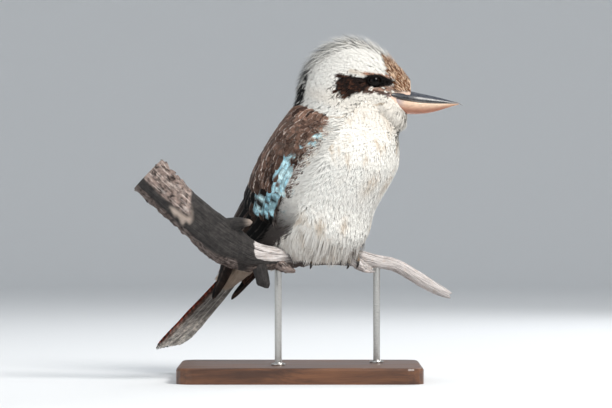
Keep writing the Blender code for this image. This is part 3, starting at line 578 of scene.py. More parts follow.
def add_lofted(shell: Shell, rings: Array, flip: bool = False, **values: Array) -> None:
    """Adds a closed surface through rings, its ends drawn in to their middles.

    Args:
        shell: Where it goes.
        rings: The rings, shaped (rings, around, 3).
        flip: Whether the faces turn the other way.
        values: Named values of each vertex, shaped (rings, around, ...).
    """
    count, around = rings.shape[:2]
    ends = np.stack([rings[0].mean(0), rings[-1].mean(0)])
    points = np.concatenate([rings.reshape(-1, 3), ends])
    sides = ring_faces(count, around)
    j = np.arange(around)
    k = (j + 1) % around
    first = np.stack([k, j, np.full(around, count * around)], -1)
    base = (count - 1) * around
    last = np.stack([base + j, base + k, np.full(around, count * around + 1)], -1)
    ended = {}
    for name, value in values.items():
        value = np.asarray(value, float).reshape(count, around, -1)
        ending = np.stack([value[0].mean(0), value[-1].mean(0)])
        ended[name] = np.concatenate([value.reshape(count * around, -1), ending])
    halves = np.concatenate([sides[:, [0, 1, 2]], sides[:, [0, 2, 3]], first, last])
    shell.add(points, halves[:, ::-1] if flip else halves, **ended)


def tube_rings(path: Array, radii: Array, around: int, up: Any = (0, 0, 1)) -> tuple[Array, Array]:
    """Works out the rings of a tube.

    Args:
        path: The points of its middle line.
        radii: The radius at each point, or at each point and angle.
        around: How many vertices a ring has.
        up: The direction that the angles are counted from.

    Returns:
        The rings, shaped (points, around, 3), and the angles.
    """
    path, radii = np.asarray(path, float), np.asarray(radii, float)
    tangents = unit(np.gradient(path, axis=0))
    across = unit(np.cross(tangents, np.asarray(up, float)))
    over = np.cross(across, tangents)
    angles = turns(around)
    radii = radii[:, None] * np.ones(around) if radii.ndim == 1 else radii
    spokes = np.cos(angles)[None, :, None] * across[:, None] + np.sin(angles)[None, :, None] * over[:, None]
    return path[:, None] + spokes * radii[..., None], angles


# Materials and node trees


class Graph:
    """Short calls that build a node tree."""

    def __init__(self, tree: bpy.types.NodeTree) -> None:
        self.tree = tree

    def feed(self, socket: bpy.types.NodeSocket, value: Any) -> None:
        """Links a socket to another, or sets it."""
        if isinstance(value, bpy.types.NodeSocket):
            self.tree.links.new(value, socket)
        elif value is not None:
            socket.default_value = value

    def add(self, kind: str, *values: Any, named: Optional[dict[str, Any]] = None, **settings: Any) -> bpy.types.Node:
        """Adds a node.

        Args:
            kind: Its type.
            values: What goes into its inputs, in order. None leaves one as it is.
            named: What goes into inputs by name.
            settings: Its own settings.

        Returns:
            The node.
        """
        made = self.tree.nodes.new(kind)
        for key, value in settings.items():
            setattr(made, key, value)
        for socket, value in zip(made.inputs, values):
            self.feed(socket, value)
        for key, value in (named or {}).items():
            self.feed(made.inputs[key], value)
        return made

    def math(self, operation: str, a: Any, b: Any = None, c: Any = None) -> Socket:
        """The result of arithmetic."""
        return self.add("ShaderNodeMath", a, b, c, operation=operation).outputs[0]

    def product(self, a: Any, b: Any) -> Socket:
        """Two numbers multiplied."""
        return self.math("MULTIPLY", a, b)

    def vector(self, operation: str, a: Any, b: Any = None) -> Socket:
        """The result of vector arithmetic."""
        return self.add("ShaderNodeVectorMath", a, b, operation=operation).outputs[0]

    def noise(self, where: Any, scale: Any, detail: float = 3.0, rough: float = 0.55) -> Socket:
        """Smooth noise.

        Args:
            where: Its coordinates.
            scale: How fine it is, in all or along each axis.
            detail: How many finer layers it has.
            rough: How strong they are.

        Returns:
            A number from 0 to 1.
        """
        if isinstance(scale, tuple):
            where, scale = self.vector("MULTIPLY", where, scale), 1.0
        kept = {"Scale": scale, "Detail": detail, "Roughness": rough}
        return self.add("ShaderNodeTexNoise", where, named=kept).outputs[0]

    def smooth(self, value: Any, low: float, high: float, to_low: float = 0, to_high: float = 1) -> Socket:
        """A number mapped smoothly from one range to another."""
        made = self.add("ShaderNodeMapRange", value, low, high, to_low, to_high, interpolation_type="SMOOTHSTEP")
        return made.outputs[0]

    def mix(self, share: Any, a: Any, b: Any, way: str = "MIX") -> Socket:
        """Two tones or colours mixed."""
        made = self.add("ShaderNodeMix", data_type="RGBA", blend_type=way)
        self.feed(made.inputs[0], share)
        for index, value in ((6, a), (7, b)):
            value = value.value if isinstance(value, Tone) else value
            self.feed(made.inputs[index], (*value, 1) if isinstance(value, tuple) else value)
        return made.outputs[2]

    def vary(self, colour: Any, value: Any, low: float, high: float, least: float, most: float) -> Socket:
        """A colour made darker and lighter, from least to most, as a value goes from low to high."""
        return self.mix(1.0, colour, self.smooth(value, low, high, least, most), "MULTIPLY")

    def spot(self) -> Socket:
        """The place on the object."""
        return self.add("ShaderNodeTexCoord").outputs["Object"]

    def read(self, name: str, output: str = "Fac") -> Socket:
        """A value kept on the mesh, in a material."""
        return self.add("ShaderNodeAttribute", attribute_name=name).outputs[output]

    def kept(self, name: str, kind: str = "FLOAT") -> Socket:
        """A value kept on the mesh, in a geometry node tree."""
        return self.add("GeometryNodeInputNamedAttribute", name, data_type=kind).outputs[0]

    def bump(self, height: Any, distance: float, strength: float) -> Socket:
        """Surface relief of a height from 0 to 1, distance deep in metres."""
        named = {"Height": height, "Distance": distance, "Strength": strength}
        return self.add("ShaderNodeBump", named=named).outputs[0]


@dataclass(frozen=True)
class Finish:
    """What a piece is made of. A kind of finish says how it is painted."""

    name: str
    slot: Slot

    def paint(self, graph: Graph) -> dict[str, Any]:
        """Builds the nodes of this finish.

        Args:
            graph: The material's node tree.

        Returns:
            What goes into the shader's inputs, by name.
        """
        raise NotImplementedError

    def material(self) -> bpy.types.Material:
        """The finish's material, made at its first use."""
        found = bpy.data.materials.get(self.name)
        if found is None:
            found = bpy.data.materials.new(self.name)
            found.use_nodes = True
            graph = Graph(found.node_tree)
            shader = found.node_tree.nodes["Principled BSDF"]
            for name, value in self.paint(graph).items():
                graph.feed(shader.inputs[name], value)
        return found


@dataclass(frozen=True)
class Plumage(Finish):
    """Soft small feathers: the colours kept on the mesh, warmer patches that are partly painted shade, and fine barbs.
    """

    patches: tuple = (90, 90, 38)
    barbs: tuple = (900, 900, 420)
    scatter_depth: float = 0.0012
    relief: float = 0.0002

    def paint(self, graph: Graph) -> dict[str, Any]:
        """Tints the feathers, and lets a little light through them."""
        where, tint = graph.spot(), graph.read("Tint", "Color")
        patches = graph.noise(where, self.patches, 4, 0.6)
        shade = graph.product(graph.smooth(patches, 0.5, 0.72), graph.read("Shade"))
        colour = graph.mix(shade, tint, graph.mix(0.72, tint, Tone.BEIGE, "MULTIPLY"))
        barbs = graph.noise(where, self.barbs, 2)
        return {
            "Base Color": graph.vary(colour, barbs, 0.3, 0.7, 0.95, 1.02),
            "Normal": graph.bump(barbs, self.relief, 0.25),
            "Roughness": 0.85, "Specular IOR Level": 0.1, "Sheen Weight": 0.08, "Sheen Roughness": 0.6,
            "Subsurface Weight": 0.06, "Subsurface Radius": (1.0, 0.92, 0.85), "Subsurface Scale": self.scatter_depth,
        }


@dataclass(frozen=True)
class Vaned(Finish):
    """Flat vaned feathers: barbs to either side of a shaft, a pale fringe, and bars where the mesh has them."""

    bar_length: float = 7.5
    slant: float = -4.5
    mottle_scale: float = 150.0
    relief: float = 0.00035

    def bars(self, graph: Graph, slanted: Socket, wander: Socket) -> Socket:
        """Dark bars that follow the barbs and wander a little."""
        beat = graph.product(slanted, 2 * math.pi / self.bar_length)
        wave = graph.math("SINE", graph.math("MULTIPLY_ADD", wander, 2.4, beat))
        return graph.product(graph.smooth(wave, -0.15, 0.25), graph.read("Bars"))

    def paint(self, graph: Graph) -> dict[str, Any]:
        """Paints the upper face with its bars and fringe, the paler under face with painted shade towards its root, and
        the shaft.
        """
        split = graph.add("ShaderNodeSeparateXYZ", graph.add("ShaderNodeUVMap", uv_map="Vane").outputs[0])
        across = graph.math("ABSOLUTE", graph.math("MULTIPLY_ADD", split.outputs[0], 2.0, -1.0))
        along, under, spot = graph.read("Along"), graph.read("Under"), graph.spot()
        slanted = graph.math("MULTIPLY_ADD", across, self.slant, along)
        packed = graph.add("ShaderNodeCombineXYZ", graph.product(slanted, 1.6), across, split.outputs[0]).outputs[0]
        barbs = graph.noise(packed, 2.2, 3, 0.7)
        bars = self.bars(graph, slanted, graph.noise(packed, 0.35, 2))
        edge = graph.smooth(graph.math("MULTIPLY_ADD", barbs, 0.2, across), 0.84, 0.98)
        broken = graph.smooth(graph.noise(spot, 240, 2), 0.38, 0.55)
        fringe = graph.product(graph.product(edge, graph.read("Fringe")), broken)
        upper = graph.mix(fringe, graph.mix(bars, graph.read("Tint", "Color"), Tone.BLACK), Tone.EDGE)
        lower = graph.mix(graph.product(bars, 0.34), Tone.PALE, Tone.DARK)
        # Painted shade: the under face darkens towards its root, under the body, and lightens towards its tip
        lower = graph.vary(lower, along, 78, 112, 0.36, 1.4)
        colour = graph.vary(graph.mix(under, upper, lower), barbs, 0.25, 0.75, 0.66, 1.22)
        colour = graph.vary(colour, graph.noise(spot, self.mottle_scale, 4, 0.62), 0.36, 0.64, 0.5, 1.36)
        shaft = graph.smooth(across, 0.03, 0.09, 1, 0)
        colour = graph.mix(graph.product(shaft, 0.25), colour, graph.mix(under, Tone.BLACK, Tone.CREAM))
        return {
            "Base Color": colour,
            "Normal": graph.bump(graph.math("MULTIPLY_ADD", shaft, 0.8, barbs), self.relief, 0.7),
            "Roughness": graph.smooth(barbs, 0.2, 0.8, 0.42, 0.66), "Specular IOR Level": 0.08,
        }


@dataclass(frozen=True)
class Horn(Finish):
    """The bill's horn: the colours kept on the mesh, with growth lines, fine scratches and a worn gloss."""

    roughness: float = 0.28
    relief: float = 0.0002

    def paint(self, graph: Graph) -> dict[str, Any]:
        """Tints the horn and wears its gloss."""
        where = graph.spot()
        lines = graph.noise(where, (60, 900, 900), 4, 0.65)
        blotch = graph.noise(where, (220, 320, 320), 3)
        colour = graph.vary(graph.read("Tint", "Color"), blotch, 0.3, 0.75, 0.86, 1.1)
        return {
            "Base Color": graph.vary(colour, lines, 0.35, 0.7, 0.9, 1.08),
            "Normal": graph.bump(lines, self.relief, 0.5),
            "Roughness": graph.smooth(blotch, 0.3, 0.7, self.roughness * 0.8, self.roughness * 1.5),
            "Coat Weight": 0.25, "Coat Roughness": 0.2,
        }


@dataclass(frozen=True)
class Glass(Finish):
    """The eye: a black pupil, a dark brown iris with fine rays, and a wet cornea."""

    pupil: tuple = (0.36, 0.42)
    iris: tuple = (0.66, 0.74)

    def paint(self, graph: Graph) -> dict[str, Any]:
        """Paints the eye by the angle from its middle, which the mesh keeps."""
        polar = graph.read("Polar")
        iris = graph.mix(graph.noise(graph.read("Grain", "Vector"), 9.0, 3, 0.7), Tone.IRIS_RAY, Tone.IRIS)
        colour = graph.mix(graph.smooth(polar, *self.pupil), Tone.PUPIL, iris)
        return {
            "Base Color": graph.mix(graph.smooth(polar, *self.iris), colour, Tone.EYE_RIM),
            "Roughness": graph.smooth(polar, 0.75, 0.95, 0.06, 0.3), "Specular IOR Level": 0.12,
            "Coat Weight": 0.02, "Coat Roughness": 0.03,
        }


@dataclass(frozen=True)
class Scaly(Finish):
    """Bare skin of the feet and lids: the colours kept on the mesh, with small scales and creases."""

    scale: float = 1100.0
    relief: float = 0.0002

    def paint(self, graph: Graph) -> dict[str, Any]:
        """Tints the skin and gives it scales."""
        where = graph.spot()
        cells = graph.add("ShaderNodeTexVoronoi", where, named={"Scale": self.scale}).outputs["Distance"]
        worn = graph.noise(where, (300, 300, 300), 3)
        colour = graph.vary(graph.read("Tint", "Color"), worn, 0.3, 0.7, 0.7, 1.3)
        return {
            "Base Color": graph.vary(colour, cells, 0.2, 0.7, 1.1, 0.7),
            "Normal": graph.bump(cells, self.relief, 0.6),
            "Roughness": graph.smooth(worn, 0.3, 0.7, 0.5, 0.75), "Specular IOR Level": 0.1,
        }


@dataclass(frozen=True)
class Driftwood(Finish):
    """The perch: rough bark on its thick end, smooth dark wood, bare silvery wood, and sawn end grain, with painted
    shade and a painted sunlit patch.
    """

    fibre: tuple = (7, 7, 0.45)
    crack: tuple = (4.5, 4.5, 0.3)
    lump_scale: float = 210.0
    ring_count: float = 58.0
    relief: float = 0.0011

    def paint(self, graph: Graph) -> dict[str, Any]:
        """Paints each kind of wood, chooses between them by the values kept on the mesh, and darkens it with painted
        shade.
        """
        grain, scaly, cut = graph.read("Grain", "Vector"), graph.read("Scaly"), graph.read("Cut")
        fibres = graph.noise(graph.vector("MULTIPLY", grain, self.fibre), 1.6, 6, 0.7)
        cracks = graph.noise(graph.vector("MULTIPLY", grain, self.crack), 2.0, 4, 0.5)
        lumps = graph.noise(graph.spot(), self.lump_scale, 6, 0.65)
        silver = graph.mix(graph.smooth(fibres, 0.3, 0.72), Tone.SILVER_DIM, Tone.SILVER)
        silver = graph.mix(graph.smooth(lumps, 0.5, 0.7, 0, 0.35), silver, Tone.STAIN)
        silver = graph.mix(graph.smooth(cracks, 0.36, 0.44, 0.85, 0), silver, Tone.CRACK)
        smooth = graph.mix(graph.smooth(lumps, 0.3, 0.7), Tone.SMOOTH_DIM, Tone.SMOOTH)
        smooth = graph.mix(graph.smooth(fibres, 0.52, 0.72, 0, 0.55), smooth, Tone.SMOOTH_GRAIN)
        smooth = graph.mix(graph.smooth(cracks, 0.36, 0.44, 0.7, 0), smooth, Tone.SMOOTH_CRACK)
        rough = graph.mix(graph.smooth(lumps, 0.34, 0.6), Tone.BARK_DIM, Tone.BARK)
        rough = graph.mix(graph.smooth(fibres, 0.5, 0.68, 0, 0.9), rough, Tone.BARK_GRAIN)
        rough = graph.mix(graph.smooth(scaly, 0.3, 0.7), smooth, rough)
        # The pale wood at a twig's end, and a painted sunlit patch on the thick end
        rough = graph.mix(graph.read("Pale"), rough, Tone.BARK_PALE_AND_LIT)
        seen = graph.math("MULTIPLY_ADD", graph.math("SUBTRACT", lumps, 0.5), 0.5, graph.read("Bark"))
        colour = graph.mix(graph.smooth(seen, 0.42, 0.54), silver, rough)
        rings = graph.math("SINE", graph.product(cut, self.ring_count))
        sawn = graph.mix(graph.smooth(rings, -0.6, 0.9), Tone.SAWN, Tone.SAWN_RING)
        sawn = graph.mix(graph.smooth(cut, 0.86, 0.93), sawn, Tone.SAWN_EDGE)
        colour = graph.mix(graph.smooth(cut, 0.001, 0.004), colour, sawn)
        height = graph.math("MULTIPLY_ADD", lumps, graph.math("MULTIPLY_ADD", scaly, 1.3, 0.35), fibres)
        height = graph.math("ADD", height, graph.smooth(cracks, 0.36, 0.44, -0.6, 0))
        return {
            # Painted shade darkens the wood where the values kept on the mesh say
            "Base Color": graph.mix(graph.read("Dark"), colour, Tone.SHADED),
            "Normal": graph.bump(height, self.relief, 0.8),
            "Roughness": graph.smooth(fibres, 0.3, 0.7, 0.95, 0.72),
        }


@dataclass(frozen=True)
class Timber(Finish):
    """The stand's base: oiled dark timber with a fine grain along its length."""

    relief: float = 0.00012

    def paint(self, graph: Graph) -> dict[str, Any]:
        """Paints the timber's figure and its pores."""
        where = graph.spot()
        bend = graph.vector("SCALE", graph.noise(where, (5, 9, 9), 2))
        shifted = graph.vector("ADD", graph.vector("MULTIPLY", where, (3, 34, 34)), bend)
        figure = graph.noise(shifted, 2.6, 5, 0.62)
        pores = graph.noise(where, (60, 1500, 1500), 3, 0.6)
        colour = graph.mix(graph.smooth(figure, 0.34, 0.68), Tone.TIMBER_DIM, Tone.TIMBER)
        return {
            "Base Color": graph.mix(graph.smooth(pores, 0.56, 0.7, 0, 0.6), colour, Tone.PORE),
            "Normal": graph.bump(pores, self.relief, 0.5),
            "Roughness": graph.smooth(figure, 0.3, 0.7, 0.32, 0.46),
            "Coat Weight": 0.2, "Coat Roughness": 0.25,
        }


@dataclass(frozen=True)
class Steel(Finish):
    """Brushed steel."""

    relief: float = 0.00004

    def paint(self, graph: Graph) -> dict[str, Any]:
        """Paints the brushed lines."""
        brushed = graph.noise(graph.spot(), (400, 400, 5200), 3)
        return {
            "Base Color": graph.mix(brushed, Tone.STEEL_DIM, Tone.STEEL),
            "Roughness": graph.smooth(brushed, 0.3, 0.7, 0.24, 0.4),
            "Normal": graph.bump(brushed, self.relief, 0.4), "Metallic": 1.0,
        }


@dataclass(frozen=True)
class Paper(Finish):
    """The studio's pale floor and backdrop."""

    shadow: Colour = (0.6, 0.6, 0.6)
    relief: float = 0.0001

    def paint(self, graph: Graph) -> dict[str, Any]:
        """Paints the paper's tooth."""
        tooth = graph.noise(graph.spot(), 380, 2)
        return {
            "Base Color": graph.mix(graph.smooth(tooth, 0, 1, 0, 0.1), Tone.PAPER, self.shadow),
            "Normal": graph.bump(tooth, self.relief, 0.2), "Roughness": 0.9,
        }


COAT = Plumage("soft_plumage", Slot.COAT)
WING_VANES = Vaned("wing_vanes", Slot.BROWN)
TAIL_VANES = Vaned("tail_vanes", Slot.TAIL)
BLACK_HORN = Horn("black_horn", Slot.BLACK_BILL)
PALE_HORN = Horn("pale_horn", Slot.HORN_BILL, 0.34)
CLAW_HORN = Horn("claw_horn", Slot.FOOT, 0.3)
WET_EYE = Glass("wet_eye", Slot.EYE)
FOOT_SKIN = Scaly("foot_skin_scaly", Slot.FOOT)
OLD_WOOD = Driftwood("old_driftwood", Slot.WOOD)
BASE_WOOD = Timber("base_timber", Slot.BASE)
ROD_STEEL = Steel("brushed_steel", Slot.STEEL)
STUDIO_PAPER = Paper("studio_paper", Slot.COAT)


# Things that grow along or over a surface, made by geometry nodes


@dataclass
class Growth:
    """A geometry node tree that makes many small things on a piece."""

    name: str
    sizes: dict[str, float]

    def grow(self, graph: Graph, source: bpy.types.Node) -> Socket:
        """Builds the tree's nodes.

        Args:
            graph: The tree.
            source: Its input node, which gives the piece and the sizes.

        Returns:
            The geometry that they make.
        """
        raise NotImplementedError

    def tree(self) -> bpy.types.NodeTree:
        """The whole tree, with the material and each size as its inputs."""
        tree = bpy.data.node_groups.new(self.name, "GeometryNodeTree")
        tree.interface.new_socket("Geometry", in_out="INPUT", socket_type="NodeSocketGeometry")
        tree.interface.new_socket("Material", in_out="INPUT", socket_type="NodeSocketMaterial")
        for key in self.sizes:
            tree.interface.new_socket(key, in_out="INPUT", socket_type="NodeSocketFloat")
        tree.interface.new_socket("Geometry", in_out="OUTPUT", socket_type="NodeSocketGeometry")
        graph = Graph(tree)
        source = graph.add("NodeGroupInput")
        grown = graph.add("GeometryNodeRealizeInstances", self.grow(graph, source)).outputs[0]
        grown = graph.add("GeometryNodeSetMaterial", grown, named={"Material": source.outputs["Material"]}).outputs[0]
        graph.add("NodeGroupOutput", graph.add("GeometryNodeSetShadeSmooth", grown).outputs[0])
        return tree

    def apply(self, mesh: bpy.types.Mesh, finish: Finish) -> bpy.types.Mesh:
        """Runs the tree on a mesh.

        Args:
            mesh: What the things grow on. It is used up.
            finish: What they are made of.

        Returns:
            The grown things as a plain mesh.
        """
        tree = self.tree()
        carrier = bpy.data.objects.new(self.name, mesh)
        step = carrier.modifiers.new(self.name, "NODES")
        step.node_group = tree
        given = {"Material": finish.material(), **self.sizes}
        for item in tree.interface.items_tree:
            if item.in_out == "INPUT" and item.name in given:
                step[item.identifier] = given[item.name]
        made = evaluated(carrier)
        bpy.data.node_groups.remove(tree)
        return made


class Relief(Growth):
    """Bark ridges and drying cracks, pushed out of the perch's surface."""

    def grow(self, graph: Graph, source: bpy.types.Node) -> Socket:
        """Moves each vertex along its normal by noise that follows the grain."""
        grain = graph.kept("Grain", "FLOAT_VECTOR")
        coarse = graph.noise(graph.vector("MULTIPLY", grain, (1.3, 1.3, 1.1)), 1.5, 5, 0.6)
        fine = graph.noise(graph.vector("MULTIPLY", grain, (5.5, 5.5, 0.5)), 2.0, 4, 0.6)
        deep = graph.product(graph.math("SUBTRACT", coarse, 0.5), source.outputs["Bark depth"])
        deep = graph.product(deep, graph.math("MULTIPLY_ADD", graph.kept("Scaly"), 0.8, 0.12))
        thin = graph.product(graph.math("SUBTRACT", fine, 0.5), source.outputs["Crack depth"])
        away = graph.product(graph.math("ADD", deep, thin), graph.kept("Firm"))
        normal = graph.add("GeometryNodeInputNormal").outputs[0]
        offset = graph.add("ShaderNodeVectorMath", normal, operation="SCALE", named={"Scale": away}).outputs[0]
        return graph.add("GeometryNodeSetPosition", source.outputs["Geometry"], named={"Offset": offset}).outputs[0]


class Flakes(Growth):
    """Loose flakes that lie along the bark."""

    SEED = 4

    def grow(self, graph: Graph, source: bpy.types.Node) -> Socket:
        """Sets a thin lumpy plate, turned to the grain, at points spread over the bark."""
        spread = graph.add("GeometryNodeDistributePointsOnFaces", distribute_method="POISSON", named={
            "Mesh": source.outputs["Geometry"], "Distance Min": source.outputs["Gap"], "Seed": self.SEED,
            "Density Max": source.outputs["Density"], "Density Factor": graph.smooth(graph.kept("Scaly"), 0.5, 0.9),
        })
        ball = graph.add("GeometryNodeMeshIcoSphere", 1.0, 3).outputs["Mesh"]
        where = graph.add("GeometryNodeInputPosition").outputs[0]
        lumps = graph.add("ShaderNodeTexNoise", where, named={"Scale": 1.4, "Detail": 3.0}).outputs[1]
        lumps = graph.vector("SUBTRACT", lumps, (0.5, 0.5, 0.5))
        lumpy = graph.add("GeometryNodeSetPosition", ball, named={"Offset": lumps}).outputs[0]
        plate = graph.add("GeometryNodeTransform", lumpy, named={"Scale": (0.42, 1.0, 0.2)}).outputs[0]
        upright = graph.add("FunctionNodeAlignRotationToVector", axis="Z", named={"Vector": spread.outputs["Normal"]})
        along_grain = graph.add("FunctionNodeAlignRotationToVector", axis="Y", pivot_axis="Z", named={
            "Rotation": upright.outputs[0], "Vector": graph.kept("Lie", "FLOAT_VECTOR"),
        })
        sizes = graph.add("FunctionNodeRandomValue", data_type="FLOAT")
        graph.feed(sizes.inputs[2], source.outputs["Smallest"])
        graph.feed(sizes.inputs[3], source.outputs["Largest"])
        return graph.add("GeometryNodeInstanceOnPoints", spread.outputs["Points"], named={
            "Instance": plate, "Rotation": along_grain.outputs[0], "Scale": sizes.outputs[1],
        }).outputs[0]


class Scutes(Growth):
    """The rings of horny plates along the toes."""

    def grow(self, graph: Graph, source: bpy.types.Node) -> Socket:
        """Sets a flattened ring at even steps along each toe's line."""
        line = graph.add("GeometryNodeMeshToCurve", source.outputs["Geometry"]).outputs[0]
        even = graph.add("GeometryNodeResampleCurve", line, mode="LENGTH", named={"Length": source.outputs["Step"]})
        ball = graph.add("GeometryNodeMeshUVSphere", 14, 8, 1.0).outputs["Mesh"]
        plate = graph.add("GeometryNodeTransform", ball, named={"Scale": (1.0, 1.0, 0.3)}).outputs[0]
        tangent = graph.add("GeometryNodeInputTangent").outputs[0]
        lined = graph.add("FunctionNodeAlignRotationToVector", axis="Z", named={"Vector": tangent}).outputs[0]
        return graph.add("GeometryNodeInstanceOnPoints", even.outputs[0], named={
            "Instance": plate, "Rotation": lined, "Scale": graph.kept("Girth"),
        }).outputs[0]


# The coat


class Markings:
    """Where each colour of the small feathers lies, for the skin and the coat alike."""

    NAPE_U = (8.2, 8.8, 9.6, 10.2, 10.7)
    NAPE_V = (18, 24, 21, 15, 10)
    STRIPE = [
        (0.9, 309), (12, 306), (24, 301.6), (29, 304.6), (40, 305), (52, 301.8), (60, 299), (54, 294.6), (44, 293),
        (32, 294), (25, 288), (15, 285.5), (12.4, 281.5), (0.5, 284.5), (-3, 292),
    ]
    # Warm spots as (u, angle from the back, length along u, width in degrees)
    SPOTS = (
        (5.75, 167, 0.3, 8), (4.31, 133, 0.30, 5), (4.15, 113, 0.3, 5), (4.5, 157, 0.28, 4), (3.7, 145, 0.25, 5),
        (3.6, 122, 0.3, 6),
    )
    EYE_PATCH = [(27, 301), (31, 305), (45, 304.5), (56, 300), (53, 295), (44, 293.4), (32, 294.5)]
    FOREHEAD = [(50, 329), (48, 322), (51, 314), (53, 305), (60, 300), (60, 290), (80, 288), (80, 330)]
    HORN = [
        (49.0, 285.0), (51.0, 287.0), (56, 288.0), (62, 288.8), (80, 290.5), (80, 262), (70.6, 267.2), (66, 271.5),
        (60.0, 277.0), (54.5, 281.6),
    ]

    @classmethod
    def front(cls, x: Array, z: Array) -> Array:
        """1 on the forehead."""
        return patch(x, z, cls.FOREHEAD, 4.0)

    @classmethod
    def horn(cls, u: Array, v: Array, low: float, soft: float = 1.0) -> Array:
        """1 past the lowest u where the bill's horn shows, in a wedge back to the corner of the mouth."""
        local = BODY_FORM.local(u, v)
        return patch(local[..., 0], local[..., 2], cls.HORN, soft) * (u > low)

    @classmethod
    def nape(cls, u: Array, turn: Array, chance: Array) -> Array:
        """1 on the dark bands down the nape, whose upper end is broken into streaks."""
        middle = np.interp(u, cls.NAPE_U, cls.NAPE_V)
        band = 1 - ease(0.75, 1.15, np.abs(turn - middle) / np.interp(u, (8.2, 9.4, 10.7), (20, 17, 9)))
        broken = chance < np.interp(u, (9.4, 10.4), (0.96, 0.5))
        return band * ease(8.2, 8.5, u) * (1 - ease(10.4, 10.8, u)) * broken

    @classmethod
    def tint(cls, u: Array, v: Array, chance: Any = 0.5) -> Array:
        """The coat's colour.

        Args:
            u: Places along the body's form.
            v: Angles round it.
            chance: A number from 0 to 1 for each place, which parts streaked feathers from plain ones.

        Returns:
            Colours, shaped as u with three numbers each.
        """
        u, v, chance = np.broadcast_arrays(*(np.asarray(a, float) for a in (u, v, chance)))
        x, _, z = np.moveaxis(BODY_FORM.local(u, v), -1, 0)
        turn = np.abs((v + 180) % 360 - 180)
        head = ease(9.3, 9.8, u)
        # Beige strokes along a fold under the chin and one on the throat: painted shade in the folds
        creases = np.maximum(
            stroke(x, z, (31, 274.4, 0.7), (50, 276.8, 0.8), 2.0) * head,
            stroke(x, z, (-2, 262, 0.8), (26, 263.5, 0.6), 2.2) * ease(8.2, 8.8, u) * 0.8,
        )
        spots = np.max([
            np.exp(-(((u - at_u) / long) ** 2) - ((turn - at_v) / wide) ** 2) for at_u, at_v, long, wide in cls.SPOTS
        ], axis=0)
        temple = stroke(x, z, (14, 309, 2.2), (28, 306, 1.6), 3.0) * head
        front = cls.front(x, z) * head
        streaks = np.where(z > 297, chance < 0.3, chance < 0.15)
        brow = stroke(x, z, (27, 306.4, 1.5), (56, 303.0, 2.2), 2.2) * head * (chance < 0.85)
        lore = stroke(x, z, (30, 291.5, 2.6), (63, 291.5, 3.4), 1.6) * head * (chance < 0.84)
        malar = stroke(x, z, (22, 290.5, 3.0), (50.5, 286.2, 1.6), 1.6) * (chance < 0.75) * head
        stripe = patch(x + 5.0 * (chance - 0.45), z + 2.0 * (chance - 0.45), cls.STRIPE, 2.4)
        mantle = (1 - ease(8.1, 8.45, u + 0.5 * (chance - 0.5))) * (1 - ease(92, 99, turn))
        # Grey on the flank below the wing: partly its own colour and partly painted shade under the wing
        flank = stroke(u * 20, turn, (42, 100, 6), (66, 96, 6), 14) * (turn > 88)
        rump = (1 - ease(1.2, 2.2, u)) * (1 - ease(70, 90, turn))
        barred = 0.85 * (np.sin(u * 9.0) > 0.1)
        # Taupe under the vent, partly painted shade
        vent = (1 - ease(1.4, 2.6, u)) * ease(95, 115, turn)
        layers = (
            (Tone.WARM, head * (1 - ease(284, 300, z)) * 0.35),
            (Tone.BEIGE, creases),
            (Tone.BEIGE, spots * (0.3 + 0.4 * (chance < 0.6))),
            (Tone.BEIGE, temple * 0.55),
            (Tone.PEACH, front * 0.8),
            (Tone.GINGER, front * streaks * 0.7),
            (Tone.GINGER, brow * 0.85),
            (blend(Tone.GINGER, Tone.UMBER, chance), lore * 0.8),
            (Tone.CHESTNUT, malar * 0.95),
            (blend(Tone.STRIPE, Tone.CHESTNUT, ease(0.55, 1.0, chance)), stripe * head),
            (Tone.LORE, patch(x, z, cls.EYE_PATCH, 2.0) * head),
            (Tone.NAPE, cls.nape(u, turn, chance)),
            (blend(Tone.BROWN, Tone.DARK, chance), mantle),
            (blend(Tone.GREY, Tone.BEIGE, chance), flank * 0.85),
            (blend(Tone.RUFOUS, Tone.BLACK, barred), rump * 0.8),
            (Tone.TAUPE, vent * 0.7),
        )
        colour = filled(u.shape, Tone.CREAM)
        for tone, share in layers:
            colour = blend(colour, tone, share)
        return colour

    @staticmethod
    def shade(u: Array, v: Array) -> Array:
        """How strongly warm patches show in the coat, which is most low on the belly: partly the belly's own beige wash
        and partly painted shade on its underside.
        """
        turn = np.abs((np.asarray(v, float) + 180) % 360 - 180)
        low = 1 - ease(3.0, 6.0, u)
        return np.clip(0.1 + 0.85 * low * ease(90, 115, turn), 0, 1) * (1 - 0.8 * ease(9.0, 10.0, u))


def mixed(first: Any, second: Tone, share: Painter) -> Painter:
    """Makes a colouring out of two.

    Args:
        first: A tone, or a colouring.
        second: The other tone.
        share: Gives how much of the second shows, for u, v and a chance.

    Returns:
        The colouring, which gives colours for u, v and a chance.
    """

    def paint(u: Array, v: Array, chance: Array) -> Array:
        """The colours there."""
        return blend(first(u, v, chance) if callable(first) else first, second, share(u, v, chance))

    return paint


@dataclass(frozen=True)
class Growing:
    """How the small feathers grow at each section of the body, from the tail's root to the bill's base."""

    length: tuple = (25, 26, 26, 25, 23, 21, 19, 16, 14, 12.5, 11, 9.5, 8.5, 7, 5, 3.4, 2.4)
    spacing: tuple = (5.2, 5.2, 4.9, 4.6, 4.3, 4.2, 4.1, 3.9, 3.5, 3.2, 3.0, 2.75, 2.55, 2.2, 1.7, 1.3, 1.0)
    half_width: tuple = (5.2, 5.2, 5, 4.6, 4.4, 4.2, 4, 3.6, 3.2, 2.8, 2.5, 2.2, 2, 1.7, 1.3, 0.9, 0.7)
    blade: tuple = (1.0, 1.0, 0.98, 0.95, 0.92, 0.9, 0.88, 0.84, 0.76, 0.7, 0.62, 0.56, 0.52, 0.46, 0.38, 0.3, 0.24)
    depth: tuple = (5, 7, 8, 8, 8, 8, 8, 7, 6, 5.5, 5, 4.6, 4, 3.2, 2.2, 1.4, 1.0)


GROWING = Growing()
